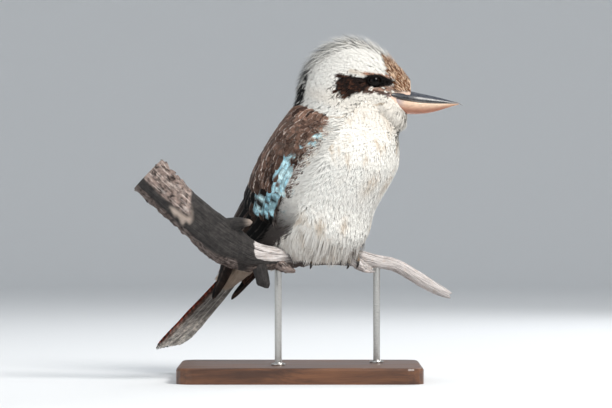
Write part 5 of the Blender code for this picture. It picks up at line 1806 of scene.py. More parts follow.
@dataclass
class Wing:
    """One folded wing: a closed core, and rows of feathers from the shoulder to the tip."""

    side: str
    COVERTS = [
        Row(
            root=-0.04 + 0.025 * i, front=max(0.16 - 0.035 * i, 0), back=0.52, count=7 + i // 3, length=17 + 0.8 * i,
            wide=1.0, dark=max(0.36 - 0.08 * i, 0.04 * i), fringe=0.5,
        )
        for i in range(13)
    ]
    SCAPULARS = [Row(-0.05 + 0.04 * i, 0.4, 1.0, 6, 25 + 1.3 * i, 1.05, 0.06 + 0.045 * i, 1.0) for i in range(9)]
    GREATER = [Row(0.3, 0, 1, 11, 40, 0.95, 0.9, 0.3), Row(0.33, 0, 1, 12, 42, 0.95, 1.0, 0.2)]
    FLIGHT = [
        Row(0.44, 0.3, 1.0, 6, 82, 0.95, 0.85, 0.1), Row(0.4, 0.0, 0.5, 6, 78, 0.95, 1.0, 0.06),
        Row(0.52, 0.0, 0.55, 6, 116, 0.9, 1.0, 0.04),
    ]
    # Outlines of the blue areas as places across and heights of the right wing
    BLUE = (
        [(1, 224), (0, 220.5), (-7, 220.5), (-7.5, 215), (-3, 212), (-6.5, 203), (-9, 195), (-13, 187), (-18, 179),
         (-32, 176), (-41, 181), (-39, 183.5), (-30, 183), (-27, 189), (-23, 198), (-20, 209), (-16, 218), (-13, 222.5),
         (-7, 225.5)],
        [(-15, 175), (-16, 169), (-21, 164.5), (-32, 163), (-43, 167), (-44, 171), (-38, 172.5), (-28, 172.5)],
        [(25, 246), (17, 245), (15, 241), (21, 240), (26, 243)],
        [(18, 237.5), (11, 237), (11, 233.5), (17, 233.5)],
        [(9, 233.5), (3, 233), (3, 229.5), (8, 230)],
    )
    DARK_SPOT = [(-17, 196), (-19.5, 196), (-19.5, 192.5), (-17, 192.5)]

    def __post_init__(self) -> None:
        """Works out the wing's side and length."""
        self.sign = SIDES[self.side]
        path = wing_point(np.linspace(0, 1, 60), 0.5, self.sign)
        self.span = float(np.linalg.norm(np.diff(path, axis=0), axis=1).sum())

    def blue(self, points: Array) -> Array:
        """How far points over the right wing lie in its blue areas."""
        x, z = points[..., 0], points[..., 2]
        shown = np.max([patch(x, z, outline, 1.4) for outline in self.BLUE], axis=0)
        return shown * (1 - patch(x, z, self.DARK_SPOT, 1.2))

    def core(self, shell: Shell) -> None:
        """Adds the closed form that the feathers lie on."""
        share, breadth = grid(np.linspace(0.0, 0.93, 60), np.linspace(0.03, 0.97, 16))
        deep = np.interp(share, (0, 0.5, 0.7, 0.93), (7, 6, 4, 1.6))
        outer = wing_point(share, breadth, self.sign, 0.2 * np.sin(breadth * math.pi) - 0.5)
        rings = np.concatenate([outer, wing_point(share, breadth[:, ::-1], self.sign, -deep)], 1)
        zero = np.zeros(rings.shape[:2])
        add_lofted(
            shell, rings, flip=self.sign > 0, Tint=filled(zero.shape, Tone.DARK),
            Map_Vane=np.full(zero.shape + (2,), 0.3), Along=zero, Fringe=zero, Bars=zero, Under=zero,
        )

    def colours(self, rng: np.random.Generator, row: Row, shares: Array, breadth: float) -> tuple[Array, Array]:
        """Works out one feather's colours.

        Args:
            rng: Gives its chances.
            row: The row that it is in.
            shares: Its places down the wing.
            breadth: Its place across the wing.

        Returns:
            The colour, and the share of blue, at each point of its sheet.
        """
        brown = blend(Tone.BROWN, Tone.DARK, rng.uniform(0, 1) ** 0.8)
        brown = blend(brown, Tone.BLACK, min(row.dark * rng.uniform(0.8, 1.3), 1))
        across = -self.sign * np.linspace(-1, 1, VANE_ACROSS)
        spread = row.step * row.wide * 0.5 * across
        mirrored = wing_point(shares[:, None], np.clip(breadth - spread, 0, 1), -1, 1.0)
        blue = self.blue(mirrored + (*rng.normal(0, 0.8, 2), 0)) if row.short else np.zeros(mirrored.shape[:2])
        blue = blue * (1 - 0.4 * ease(0.72, 1.0, np.abs(across))) * ease(0.2, 0.36, VANE_ALONG)[:, None]
        return blend(brown, blend(Tone.BLUE, Tone.DEEP_BLUE, rng.uniform(0, 0.9)), blue), blue

    def feather(self, vanes: Vanes, row: Row, i: int) -> None:
        """Adds one feather.

        Args:
            vanes: Where it goes.
            row: The row that it is in.
            i: Its number in the row.
        """
        rng = vanes.rng
        breadth = row.front + row.step * (i + 0.5) + rng.uniform(-0.3, 0.3) * row.step * row.short
        long = row.length * rng.uniform(0.88, 1.1)
        root = row.root + rng.uniform(-0.012, 0.012) * row.short
        if not row.short:
            long *= 1.06 - 0.3 * breadth
        end = min(root + long / self.span, 0.998)
        shares = root + (end - root) * VANE_ALONG
        sunk, least = (-4.5, 2.6) if row.short else (-1.5, 5.0)
        rise = np.interp(VANE_ALONG, (0, 0.4, 1), (sunk, 0.9, 2.2)) + rng.uniform(-0.15, 0.25)
        rise = rise + np.interp(row.length, (20, 100), (0.5, -0.6))
        path, near, far = (wing_point(shares, breadth + row.step * by, self.sign, rise) for by in (0, -0.5, 0.5))
        wide = np.maximum(np.linalg.norm(far - near, axis=1), least) * row.wide * rng.uniform(0.9, 1.15)
        wide = np.convolve(np.pad(wide, 2, mode="edge"), np.ones(5) / 5, mode="valid")
        out = WING_FORM.out(*wing_uv(shares, breadth, self.sign))
        side = unit(unit(far - near) + out * 0.14)
        out = unit(out - side * (out * side).sum(1, keepdims=True))
        tint, blue = self.colours(rng, row, shares, breadth)
        vanes.lay(path, side, out, wide * VANE_WIDTH, long, tint, row.fringe * rng.uniform(0.2, 1.4) * (1 - blue))

    def shoulder(self) -> None:
        """Grows the small loose feathers that soften the wing's top, with paler ends."""
        blades = Blades(61)
        u, v = scatter(WING_FORM, (8.2, 10.5), (30, 106), 2.6)
        tint = mixed(Tone.BROWN, Tone.DARK, lambda u, v, chance: 0.35 + 0.65 * chance)
        pale = lambda u, v, chance: (chance > 0.5) * (0.12 + 0.85 * ease(86, 100, np.abs(v)))
        tip = mixed(tint, Tone.WARM, pale)
        blades.over_form(WING_FORM, u, v * self.sign, 12.0, 2.2, 0.34, 3.0, 7, 3.5, tint=tint, tip=tip)
        show(f"shoulder_feathers_{self.side}", blades.shell.mesh("shoulder"), COAT)

    def build(self) -> None:
        """Builds the wing."""
        vanes = Vanes(17)
        self.core(vanes.shell)
        self.shoulder()
        for row in (*self.FLIGHT, *self.GREATER, *self.COVERTS, *self.SCAPULARS):
            for i in range(row.count):
                self.feather(vanes, row, i)
        show(f"wing_feathers_{self.side}", vanes.shell.mesh("wing"), WING_VANES, [f"wing_{self.side}"])


@dataclass
class Tail:
    """The tail's twelve feathers and its coverts."""

    start: tuple = (-112.0, 0.0, 129.0)
    slope: float = 41.5
    length: float = 158.0
    half_width: float = 10.5
    step: float = 0.88
    arch: float = 0.0025
    # Rings of the closed root: how far down the tail, half the width, and the heights over and under the middle
    rings: tuple = ((-6, 12, 7, 10), (2, 15, 7, 13.5), (16, 16, 5.6, 14.5), (30, 15, 4, 12), (44, 14, 2.4, 9))

    def __post_init__(self) -> None:
        """Works out the tail's directions in the bird's own frame."""
        slope = math.radians(self.slope)
        self.root = np.array(self.start)
        self.along = np.array([-math.cos(slope), 0, -math.sin(slope)])
        self.over = np.array([-math.sin(slope), 0, math.cos(slope)])
        self.left = np.array([0, 1.0, 0])

    def point(self, distance: Array, lateral: Array, height: Array) -> Array:
        """Points in the row's frame, by how far down the tail, to its left and over it they are."""
        found = self.root + distance[..., None] * self.along + height[..., None] * self.over
        return place(found + lateral[..., None] * self.left, BODY_YAW)

    def feathers(self) -> None:
        """Builds the twelve feathers, the middle pair on top."""
        vanes = Vanes(23)
        t = VANE_ALONG
        for layer in range(12):
            rank, sign = layer // 2, 1 - 2 * (layer % 2)
            long = self.length - 3.2 * rank
            lateral = sign * (1.2 + 0.9 * rank + (0.8 + 1.0 * rank) * t)
            height = 1.6 - self.step * layer - 2.0 * t * (1 - t) - self.arch * lateral**2
            path = self.point(20 + (long - 20) * t, lateral, height)
            side = unit(turned(self.left - np.outer(2 * self.arch * lateral, self.over), BODY_YAW))
            out = unit(turned(self.over, BODY_YAW)) * np.ones((len(path), 1))
            tint = blend(Tone.RUFOUS, Tone.CREAM, np.minimum(ease(0.9, 0.96, t) + 0.1 * rank / 5, 1))
            wide = np.interp(t, (0, 0.3, 0.6, 0.8, 0.9, 0.96, 1), (0.55, 0.8, 0.96, 1, 0.9, 0.66, 0.2))
            under = np.interp(layer, (0, 4, 6), (0.0, 0.0, 1.0))
            bars = 1.0 - 0.25 * (rank / 5)
            vanes.lay(path, side, out, self.half_width * wide, long, tint, 0.1, bars, under, 0.04, 0.32)
        show("tail_feathers", vanes.shell.mesh("tail"), TAIL_VANES, ["tail"])

    def closed_root(self) -> None:
        """Builds the closed root of the tail."""
        angles = turns(28)
        distance, wide, high, low = (np.array(part, float)[:, None] for part in zip(*self.rings))
        depth = np.where(np.cos(angles) > 0, high, low)
        rings = self.point(distance + 0 * angles, wide * np.sin(angles), depth * np.cos(angles))
        shell = Shell()
        add_lofted(shell, rings, Tint=filled(rings.shape[:2], Tone.TAUPE), Shade=np.zeros(rings.shape[:2]))
        show("tail_root", shell.mesh("tail_root"), COAT)

    def coverts(self) -> None:
        """Builds the soft coverts above the tail's root, rufous with black bars, and below it."""
        self.closed_root()
        blades = Blades(29)
        self.add_coverts(blades, 1, 90, Tone.RUFOUS, (7, 8.4, 8.0, 4.4, 1.6), 0.8)
        self.add_coverts(blades, -1, 190, Tone.TAUPE, (12, 16, 17, 12, 8), 0.12)
        show("tail_coverts", blades.shell.mesh("coverts"), COAT)

    def add_coverts(self, blades: Blades, face: int, count: int, tone: Tone, bulks: tuple, bars: float) -> None:
        """Adds the coverts of one face.

        Args:
            blades: Where they go.
            face: 1 above the tail and -1 below it.
            count: How many tufts there are.
            tone: Their colour.
            bulks: How far they stand from the tail's middle, down its length.
            bars: How strong their dark bars are.
        """
        rng = blades.rng
        shape = (count, 11)
        share = rng.uniform(-1, 1, count)
        start = rng.uniform(-12, 26, count)
        long = np.where(start < 10, 22, 26) * rng.uniform(0.85, 1.15, count) * (1 - 0.2 * np.abs(share))
        across = np.linspace(-1, 1, 11)[None, :, None]
        t = STATIONS[None, None]
        distance = start[:, None, None] + long[:, None, None] * t * (1 - 0.15 * across**2)
        lateral = share[:, None, None] * (13 - 4 * t) + 4.4 * across * (0.4 + 0.6 * rounded(t))
        bulk = np.interp(distance, (-10, 0, 16, 44, 60), bulks)
        round_off = np.sqrt(np.clip(1 - (lateral / 19) ** 2, 0.05, 1))
        height = face * (bulk * round_off + rng.normal(0, 0.3, shape + (1,)) - 3.0 * (1 - t) ** 1.5)
        outs = unit(turned(self.over * face + lateral[..., None] / 22 * self.left, BODY_YAW))
        barred = (np.sin(distance[:, :, 2] * 0.55) > 0) * bars
        tints = blend(tone, Tone.BLACK, barred) * rng.uniform(0.85, 1.1, shape + (1,))
        roots = np.stack([share * 0.48 + 0.5, start / 80 + 0.2 + 0.45 * (face > 0)], -1)
        path = self.point(distance, lateral, height)
        blades.lay(path, outs, np.full(shape, 0.62), tints, roots, np.full(count, 0.3))

    def build(self) -> None:
        """Builds the tail."""
        self.feathers()
        self.coverts()


# Bill


@dataclass
class Bill:
    """The two halves of the bill, with the bare skin at the corners of the mouth."""

    x: tuple = (46, 54, 62, 71, 80, 90, 100, 109, 116, 121)
    ridge: tuple = (293.5, 293.0, 292.0, 290.4, 288.4, 286.2, 283.9, 281.6, 279.6, 278.2)
    edge: tuple = (286.0, 284.2, 282.0, 280.2, 278.9, 278.0, 277.6, 277.5, 277.4, 277.2)
    keel: tuple = (272.0, 269.4, 267.8, 267.0, 267.0, 268.0, 270.2, 273.0, 275.2, 276.5)
    half_width: tuple = (24.0, 23.6, 20.2, 15.4, 11.5, 8.8, 6.6, 4.8, 3.3, 2.1)
    upper_tip: tuple = (125.2, 0, 275.4)
    lower_tip: tuple = (120.5, 0, 276.9)
    nostril: tuple = (70.0, 286.8)
    gap: float = 0.15
    fold: tuple = ((53, 284.0), (51.5, 284.6), (50, 285.2), (48, 285.7), (46, 286.0), (44, 286.2))

    def half(self, upper: bool) -> None:
        """Builds one half, with its cutting edge, growth lines and, on the upper one, its nostrils."""
        u = np.linspace(0, len(self.x) - 1, 100)
        x, ridge, edge, keel, width = (
            spline(a, u)[:, None] for a in (self.x, self.ridge, self.edge, self.keel, self.half_width)
        )
        angle = np.linspace(math.pi, 0, 31)
        inner = np.linspace(0.9, -0.9, 9)
        across = np.append(np.sign(np.cos(angle)) * np.abs(np.cos(angle)) ** 0.85, inner)
        over = np.append(np.abs(np.sin(angle)) ** 0.85, 0.05 + 0.04 * (1 - inner**2))
        sign = 1 if upper else -1
        depth = (ridge - edge if upper else edge - keel) - self.gap
        z = edge + sign * (self.gap + over * depth)
        y = across * (width * (1.0 if upper else 0.93))
        x = x + 0 * y
        hole = np.zeros(y.shape)
        if upper:
            hole = np.exp(-(((x - self.nostril[0]) / 2.6) ** 2) - ((z - self.nostril[1]) / 0.8) ** 2)
        y = y - np.sign(y) * hole * 1.4
        # The nostrils' slits are painted dark, as painted shade in the openings
        tint = blend(self.colours(upper, x, over), Tone.NOSTRIL_SHADE, np.clip(hole * 1.6, 0, 1))
        tip = np.array(self.upper_tip if upper else self.lower_tip)
        last = tip + 0.12 * np.stack([np.zeros(len(across)), across, sign * over], -1)
        rings = np.concatenate([np.stack([x, y, z], -1), last[None]])
        shell = Shell()
        add_lofted(shell, place(rings, HEAD_YAW), flip=upper, Tint=np.concatenate([tint, tint[-1:]]))
        name = "upper" if upper else "lower"
        show(f"bill_{name}_horn", shell.mesh(name), BLACK_HORN if upper else PALE_HORN, [f"bill_{name}"])

    @staticmethod
    def colours(upper: bool, x: Array, over: Array) -> Array:
        """Works out the horn's colours.

        Args:
            upper: Whether this is the upper half.
            x: Places along the bill.
            over: Heights over its cutting edge, as shares of the half's depth.

        Returns:
            The colours, shaped as x with three numbers each.
        """
        over = np.broadcast_to(over, x.shape)
        if upper:
            # A painted bluish sheen over the upper part of the upper half
            colour = blend(Tone.BILL_BLACK, Tone.BILL_SHEEN, ease(0.1, 0.75, over) * 0.5)
            # A pale line along the front of the cutting edge: a painted highlight
            colour = blend(colour, Tone.BILL_EDGE_HIGHLIGHT, (1 - ease(0.03, 0.16, over)) * ease(60, 80, x) * 0.8)
            return blend(colour, Tone.BILL_TIP, ease(112, 123, x) * 0.7)
        colour = blend(Tone.BILL_CREAM, Tone.BILL_KEEL, ease(0.0, 0.88, over))
        colour = blend(colour, Tone.BILL_LILAC, (1 - ease(58, 70, x)) * (1 - ease(0.2, 0.7, over)) * 0.8)
        return blend(colour, Tone.BILL_END, ease(104, 118, x) * 0.7)

    def corners(self) -> None:
        """Builds the fold of bare skin that runs back from each corner of the mouth."""
        shell = Shell()
        share = np.linspace(0, 1, 40)
        radii = np.interp(share, (0, 0.2, 0.7, 1), (0.9, 0.8, 0.5, 0.1))
        for side in SIDES.values():
            places = [BODY_FORM.locate(x, z, side, HEAD_FROM) for x, z in self.fold]
            points = [BODY_FORM.point(u, v) + BODY_FORM.out(u, v) * 0.1 for u, v in places]
            rings, _ = tube_rings(spline(points, np.linspace(0, 5, 40)), radii, 12)
            tint = blend(Tone.FOLD, Tone.FOLD_END, share)
            add_lofted(shell, rings, Tint=np.broadcast_to(tint[:, None], rings.shape))
        show("mouth_corners", shell.mesh("corners"), PALE_HORN)

    def build(self) -> None:
        """Builds the bill."""
        self.half(True)
        self.half(False)
        self.corners()


# Perch and feet

PERCH = [
    ((-150, -64, 206), 20.0), ((-129, -64, 186), 18.7), ((-100, -62, 160), 18.5), ((-75, -56, 139), 20.0),
    ((-54, -46, 127), 16.0), ((-36, -36, 124), 12.5), ((-18, -26, 123.5), 10.5), ((5, -14, 124), 9.0),
    ((30, -2, 124), 8.3), ((56, 10, 122.5), 8.4), ((76, 19, 119), 6.8), ((96, 27, 115), 6.5),
    ((116, 34, 104), 6.5), ((136, 40, 92), 5.8), ((155, 46, 82.5), 3.4),
]


def perch_at(share: Any) -> tuple[Array, Array]:
    """(points, radii) of the perch's centre line at shares of its length."""
    u = np.asarray(share, float) * (len(PERCH) - 1)
    return spline([p for p, _ in PERCH], u), spline([r for _, r in PERCH], u)


@dataclass(frozen=True)
class Twig:
    """One broken side twig: its line, its radii, and how much bark, scaly bark and pale wood it has."""

    line: tuple
    radii: tuple
    bark: float
    scaly: float
    pale: float = 0.0


@dataclass
class Perch:
    """The cut length of branch."""

    rings: int = 350
    around: int = 96
    knot: tuple = (57.0, 0.4, 121.0)
    knot_size: tuple = (5.2, 6.0, 2.6)
    bark_depth: float = 0.0125
    crack_depth: float = 0.0014
    # PALE outlines a painted sunlit patch on the bark
    PALE = [(-120, 181), (-108, 177), (-106, 160), (-113, 157), (-126, 172)]
    TWIGS = (
        Twig(((-84, -58, 148), (-72, -61, 154), (-60, -65, 158), (-47, -69, 159)), (11, 9, 6, 2.2), 1.0, 0.0, 1.0),
        Twig(((-42, -42, 122), (-39, -45, 110), (-36, -47, 98), (-36, -47, 95)), (9, 7, 6.3, 4.2), 1.0, 0.25),
        Twig(((52, 4, 121), (63, 6, 114), (73, 8, 110)), (5, 5, 1.8), 0.15, 0.7),
        Twig(((-24, -32, 118), (-14, -40, 113), (-5, -44, 110)), (6, 4, 1.4), 1.0, 0.7),
    )

    @staticmethod
    def grain(angles: Array, along: Array, turn: float = 0.0) -> Array:
        """Coordinates that follow the grain, from angles round the wood and places along it."""
        shape = (len(along), len(angles))
        parts = (np.cos(angles) * 2 + turn, np.sin(angles) * 2, along[:, None])
        return np.stack([np.broadcast_to(part, shape) for part in parts], -1)

    def trunk(self, shell: Shell) -> None:
        """Adds the branch itself, sawn at its thick end and broken at its thin one."""
        share = np.linspace(0, 1, self.rings)
        path, radii = perch_at(share)
        rings, angles = tube_rings(path, radii, self.around)
        down = share[:, None]
        lengths = np.append(0, np.cumsum(np.linalg.norm(np.diff(path, axis=0), axis=1)))
        rng = np.random.default_rng(11)
        waves = sum(np.sin(k * angles + rng.uniform(0, 6.3) + down * rng.uniform(4, 30)) / k for k in (2, 3, 5))
        bark = np.clip((0.42 - down) / 0.1, 0.0, 1)
        grip = 1 - 0.8 * np.exp(-(((down - 0.56) / 0.09) ** 2))
        rings = path[:, None] + (rings - path[:, None]) * (1 + grip * np.clip(bark, 0.12, 1) * 0.045 * waves)[..., None]
        broken = ease(0.965, 1.0, down) * (0.5 + 0.5 * np.sin(3 * angles + 1) * 0.6)
        rings = rings - (unit(path[-1] - path[-2]) * 6) * broken[..., None]
        hole = np.linalg.norm((rings - np.array(self.knot)) / self.knot_size, axis=-1)
        pit = np.exp(-(hole**2) * 1.4)
        rings = path[:, None] + (rings - path[:, None]) * (1 - 0.55 * pit)[..., None]
        values = self.woods(rings, angles, down, bark, waves)
        # Painted shade in the knot hole
        values["Dark"] = np.maximum(np.clip(pit * 2.6 - 0.5, 0, 1), values["Dark"])
        values["Grain"] = self.grain(angles, lengths / 14)
        values["Lie"] = np.broadcast_to(unit(np.gradient(path, axis=0))[:, None], rings.shape)
        values["Firm"] = np.broadcast_to(grip * np.clip(down / 0.012, 0, 1), rings.shape[:2])
        self.sawn_end(rings, values, shell)

    def woods(self, rings: Array, angles: Array, down: Array, bark: Array, waves: Array) -> dict[str, Array]:
        """Works out where each kind of wood shows, and where shade and a sunlit patch are painted on it.

        Args:
            rings: The branch's vertices.
            angles: Their angles round it.
            down: Their shares of its length.
            bark: 1 on its thick end and 0 on its thin one.
            waves: The swelling of its surface.

        Returns:
            The values that its finish and its relief read, by name.
        """
        x, z, up = rings[..., 0], rings[..., 2], np.sin(angles) + 0.25 * waves / 2
        bare = np.exp(-(((x + 36) / 16) ** 2)) * ease(-0.2, 0.5, -np.sin(angles + 3.6))
        dark = np.clip(bark + 0.5 * np.clip((0.5 - down) / 0.08, 0, 1) - 1.4 * bare, 0, 1)
        under = ease(0.2, 0.9, -np.sin(angles)) * ease(0.25, 0.34, down) * (1 - ease(0.5, 0.66, down))
        scaly = np.maximum(ease(-102, -112, x) * ease(-0.5, 0.1, up), 0.9 * ease(-0.5, -0.85, up) * ease(-58, -64, x))
        scaly = np.maximum(scaly, np.minimum(under, 0.8))
        # A painted sunlit patch on the side of the thick end that faces the front
        pale = patch(x + 2 * waves, z + 2 * np.sin(x * 0.8), self.PALE, 5.0) * ease(0, 0.3, np.cos(angles))
        # Painted shadow that the bird casts on the branch below it, on all but its top, and painted shade on the
        # underside of the thick end
        shaded = 0.72 * ease(-24, -8, x) * (1 - ease(56, 68, x)) * ease(0.5, 0.1, np.sin(angles))
        return {
            "Scaly": scaly, "Pale": pale * (1 - ease(0.2, 0.6, scaly)), "Bark": np.maximum(dark, under * 0.9),
            "Dark": np.maximum(shaded, 0.5 * ease(-0.4, -0.8, up) * ease(-20, -30, x)), "Cut": np.zeros(x.shape),
        }

    @staticmethod
    def sawn_end(rings: Array, values: dict[str, Array], shell: Shell) -> None:
        """Closes the thick end with a flat sawn face, which has its growth rings, and adds the whole.

        Args:
            rings: The branch's vertices.
            values: Their named values.
            shell: Where it goes.
        """
        inner = np.linspace(0.995, 0.03, 34)[::-1, None]
        middle = rings[0].mean(0)
        face = middle + (rings[0] - middle) * inner[..., None]
        whole = {}
        for name, value in values.items():
            front = np.repeat(value[:1], len(inner), 0)
            if name == "Cut":
                front = front + inner
            elif name not in ("Grain", "Lie"):
                front = front * 0
            whole[name] = np.concatenate([front, value])
        add_lofted(shell, np.concatenate([face, rings]), **whole)

    def twigs(self, shell: Shell) -> None:
        """Adds the broken side twigs."""
        for number, twig in enumerate(self.TWIGS):
            u = np.linspace(0, len(twig.line) - 1, 60)
            line = spline(twig.line, u)
            radii = spline(twig.radii, u) * np.append(np.ones(54), np.linspace(1, 0.35, 6))
            rings, angles = tube_rings(line, radii, 40, (0, 1, 0.2))
            zero = np.zeros(rings.shape[:2])
            add_lofted(
                shell, rings, Grain=self.grain(angles, u * 1.2, number * 7), Bark=zero + twig.bark,
                Lie=np.broadcast_to(unit(np.gradient(line, axis=0))[:, None], rings.shape), Scaly=zero + twig.scaly,
                Pale=zero + ease(2.3, 3.0, u)[:, None] * twig.pale, Firm=zero + 0.7, Cut=zero, Dark=zero,
            )

    def build(self) -> None:
        """Builds the branch with its twigs, then its flakes of bark."""
        shell = Shell()
        self.trunk(shell)
        self.twigs(shell)
        relief = Relief("bark_relief", {"Bark depth": self.bark_depth, "Crack depth": self.crack_depth})
        wood = relief.apply(shell.mesh("perch"), OLD_WOOD)
        sizes = {"Gap": 0.0032, "Density": 42000.0, "Smallest": 0.0012, "Largest": 0.0042}
        scales = Flakes("bark_flakes", sizes).apply(wood.copy(), OLD_WOOD)
        show("branch_wood", wood, OLD_WOOD, ["perch_branch"])
        show("branch_flakes", scales, OLD_WOOD)


@dataclass
class Foot:
    """One foot: toes that curl round the perch, with their plates and claws, and the shank."""

    side: str
    toe_radius: float = 2.5
    claw_length: float = 8.0
    shank_radius: float = 3.3 * 0.94
    # Where each foot stands along the perch, and the way that its toes spread
    PLACES = {"right": (0.512, -1.0), "left": (0.607, 1.0)}
    # Each toe's place along the perch, its slant, and the angles over the perch where it starts and ends
    TOES = ((2.9, 2.2, 12, 96), (-1.4, -0.6, 8, 118), (-5.4, -4.6, 10, 104), (-0.5, 1.0, -10, -84))

    @staticmethod
    def grip(share: float) -> tuple[Array, float, Array, Array, Array]:
        """(centre, radius, along, forward, up) of the perch where a foot grips it."""
        centre, radius = perch_at(share)
        step = 0.1 / (len(PERCH) - 1)
        along = unit(perch_at(share + step)[0] - perch_at(share - step)[0])
        forward = unit(np.cross(along, (0, 0, 1)))
        return centre, float(radius), along, forward, np.cross(forward, along)

    def toe(self, start: float, slant: float, first: float, last: float) -> Array:
        """The line of one toe over the perch."""
        share, spread = self.PLACES[self.side]
        path = []
        for i, angle in enumerate(np.radians(np.linspace(first, last, 6))):
            along_by = (start + slant * i / 5) * -spread
            centre, radius, _, forward, up = self.grip(share + along_by / (len(PERCH) - 1) / 24)
            lift = radius * 1.03 + self.toe_radius + 0.3
            path.append(centre + lift * (np.sin(angle) * forward + np.cos(angle) * up))
        return np.array(path)

    def build(self) -> None:
        """Builds the foot."""
        skin, claws, lines = Shell(), Shell(), []
        centre, radius, across, forward, up = self.grip(self.PLACES[self.side][0])
        t = np.linspace(0, 1, 40)
        for toe in self.TOES:
            path = self.toe(*toe)
            girth = self.toe_radius * (0.94 - 0.2 * t) * (1 + 0.07 * np.cos(t * 3 * 2 * math.pi))
            lines.append((spline(path, t * 5), girth, 18, across))
            self.claw(claws, path, centre, across)
        ankle = centre + (radius + self.toe_radius) * up
        shank = spline([ankle - 0.8 * up, ankle + 5 * up, ankle + 15 * up - 4 * forward], np.linspace(0, 2, 24))
        lines.append((shank, np.full(24, self.shank_radius), 20, forward))
        for line, girth, around, way in lines:
            rings, _ = tube_rings(line, girth, around, way)
            add_lofted(skin, rings, Tint=filled(rings.shape[:2], Tone.FOOT))
        show(f"foot_{self.side}_skin", skin.mesh("foot"), FOOT_SKIN, [f"foot_{self.side}"])
        show(f"foot_{self.side}_claws", claws.mesh("claws"), CLAW_HORN)
        show(f"foot_{self.side}_plates", self.plates([line[:2] for line in lines]), FOOT_SKIN)

    def claw(self, shell: Shell, path: Array, centre: Array, across: Array) -> None:
        """Adds the claw at a toe's end, which hooks in towards the perch.

        Args:
            shell: Where it goes.
            path: The toe's line.
            centre: The middle of the perch there.
            across: The way along the perch.
        """
        turn = unit(path[-1] - path[-2])
        inward = unit(centre - path[-1])
        t = np.linspace(-0.12, 1, 24)
        line = path[-1] + self.claw_length * (t[:, None] * turn + (t**2)[:, None] * inward * 0.32)
        rings, _ = tube_rings(line, 1.75 * np.sqrt(np.clip(1.02 - t, 0.004, 1)), 14, across)
        add_lofted(shell, rings, Tint=filled(rings.shape[:2], Tone.CLAW))

    @staticmethod
    def plates(lines: list[tuple[Array, Array]]) -> bpy.types.Mesh:
        """The horny plates that ring the toes and the shank, from their lines and radii."""
        mesh = bpy.data.meshes.new("toe_lines")
        points, edges, girths = [], [], []
        for line, girth in lines:
            edges += [(len(points) + i, len(points) + i + 1) for i in range(len(line) - 1)]
            points += [tuple(p * MM) for p in line]
            girths += list(girth * MM * 1.07)
        mesh.from_pydata(points, edges, [])
        mesh.attributes.new("Girth", "FLOAT", "POINT").data.foreach_set("value", girths)
        made = Scutes("toe_plates", {"Step": 0.0012}).apply(mesh, FOOT_SKIN)
        Shell.store(made, "Tint", filled((len(made.vertices),), Tone.SCUTE), np.zeros(0, int))
        return made


# Stand and studio


@dataclass
class Stand:
    """The plain base and rods, whose solids stay, and a small collar round the foot of each rod."""

    # Where each rod stands along the perch, and the collar's outline as radii and heights
    RODS = {"left": 0.415, "right": 0.72}
    COLLAR = ((3.55, 16.0), (7.0, 16.0), (7.2, 16.3), (7.2, 17.6), (6.9, 18.1), (4.4, 18.5), (4.1, 19.0), (3.55, 19.0))

    def build(self) -> None:
        """Finishes the solids and adds the collars."""
        for name, finish in (("stand_base", BASE_WOOD), ("stand_rod_left", ROD_STEEL), ("stand_rod_right", ROD_STEEL)):
            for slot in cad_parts[name].material_slots:
                slot.material = finish.material()
        radius, height = np.array(self.COLLAR).T[..., None]
        for name, share in self.RODS.items():
            foot, turn = perch_at(share)[0], turns(64)
            rings = [foot[0] + radius * np.cos(turn), foot[1] + radius * np.sin(turn), height + 0 * turn]
            shell = Shell()
            shell.add(np.stack(rings, -1), closed_faces(len(self.COLLAR), 64))
            mesh = shell.mesh("collar")
            mesh.set_sharp_from_angle(angle=math.radians(35))
            show(f"rod_collar_{name}", mesh, ROD_STEEL)


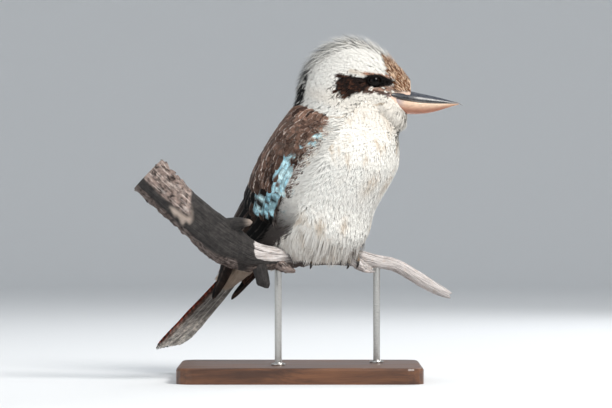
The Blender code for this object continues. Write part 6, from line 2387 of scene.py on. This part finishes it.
@dataclass
class Studio:
    """The floor, the lights and the camera."""

    camera_at: tuple = (0.006, -3.014, 0.177)
    lens: float = 176.0
    sensor: float = 36.0
    target: tuple = (0, 0, 0.19)
    surround: float = 0.46
    # Radii of the floor's flat part and of its curve, and the heights of the curve and of the wall, in millimetres
    flat: float = 3400.0
    curve: float = 1500.0
    wall: float = 4200.0
    # Each light's name, place, width, power and colour
    LIGHTS = (
        ("key", (1.3, -1.5, 1.9), 1.0, 69.0, (1.0, 0.975, 0.93)),
        ("fill", (-1.8, -1.9, 0.9), 1.8, 9.5, (0.92, 0.96, 1.0)),
        ("top", (-0.3, 0.5, 2.2), 1.5, 13.0, (1.0, 1.0, 1.0)),
        ("rim", (0.9, 1.3, 0.9), 0.9, 8.0, (0.97, 0.98, 1.0)),
    )

    def sweep(self) -> None:
        """Builds the floor, which curves up into a backdrop on every side."""
        bend = np.linspace(0, 1, 60)[1:] * math.pi / 2
        radius = np.concatenate([
            np.linspace(60, self.flat, 30), self.flat + self.curve * np.sin(bend), [self.flat + self.curve],
        ])[:, None]
        height = np.concatenate([np.zeros(30), self.curve * (1 - np.cos(bend)), [self.wall]])[:, None]
        turn = turns(96)
        rings = np.stack([radius * np.cos(turn), radius * np.sin(turn), height + 0 * turn], -1)
        faces = ring_faces(len(radius), 96)
        near = np.arange(96)
        middle = np.stack([(near + 1) % 96, near, np.full(96, rings.size // 3)], -1)
        shell = Shell()
        halves = np.concatenate([faces[:, [0, 1, 2]], faces[:, [0, 2, 3]], middle])
        shell.add(np.concatenate([rings.reshape(-1, 3), [[0, 0, 0]]]), halves[:, ::-1])
        mesh = shell.mesh("sweep")
        mesh.materials.append(STUDIO_PAPER.material())
        floor = bpy.data.objects.new("studio_sweep", mesh)
        bpy.context.scene.collection.objects.link(floor)

    def light(self) -> None:
        """Adds the soft lights and a dim even surround."""
        for name, where, size, power, colour in self.LIGHTS:
            lamp = bpy.data.lights.new(name, "AREA")
            lamp.shape, lamp.size, lamp.energy, lamp.color = "DISK", size, power, colour
            made = bpy.data.objects.new(name, lamp)
            made.location = where
            made.rotation_euler = (Vector(self.target) - Vector(where)).to_track_quat("-Z", "Y").to_euler()
            bpy.context.scene.collection.objects.link(made)
        world = bpy.data.worlds.new("surround")
        world.use_nodes = True
        inputs = world.node_tree.nodes["Background"].inputs
        inputs["Color"].default_value = (0.9, 0.95, 1.0, 1)
        inputs["Strength"].default_value = self.surround
        bpy.context.scene.world = world
        bpy.context.scene.view_settings.view_transform = "Standard"

    def camera(self) -> None:
        """Adds the camera at the photo's viewing angle."""
        lens = bpy.data.cameras.new("camera")
        lens.lens, lens.sensor_width, lens.clip_end = self.lens, self.sensor, 50
        made = bpy.data.objects.new("camera", lens)
        made.location = self.camera_at
        made.rotation_euler = (math.pi / 2, 0, 0)
        bpy.context.scene.collection.objects.link(made)
        bpy.context.scene.camera = made

    def build(self) -> None:
        """Builds the studio."""
        self.sweep()
        self.light()
        self.camera()


def main() -> None:
    """Builds every piece in order."""
    logging.basicConfig(level=logging.INFO, format="%(message)s")
    eyes = [Eye(side) for side in SIDES]
    pieces = [Studio(), Stand(), Perch(), *(Foot(side) for side in SIDES), *eyes, Bill(), Bird(eyes)]
    for piece in (*pieces, *(Wing(side) for side in SIDES), Tail()):
        piece.build()
        log.info("built the %s", type(piece).__name__.lower())


if __name__ == "__main__":
    main()
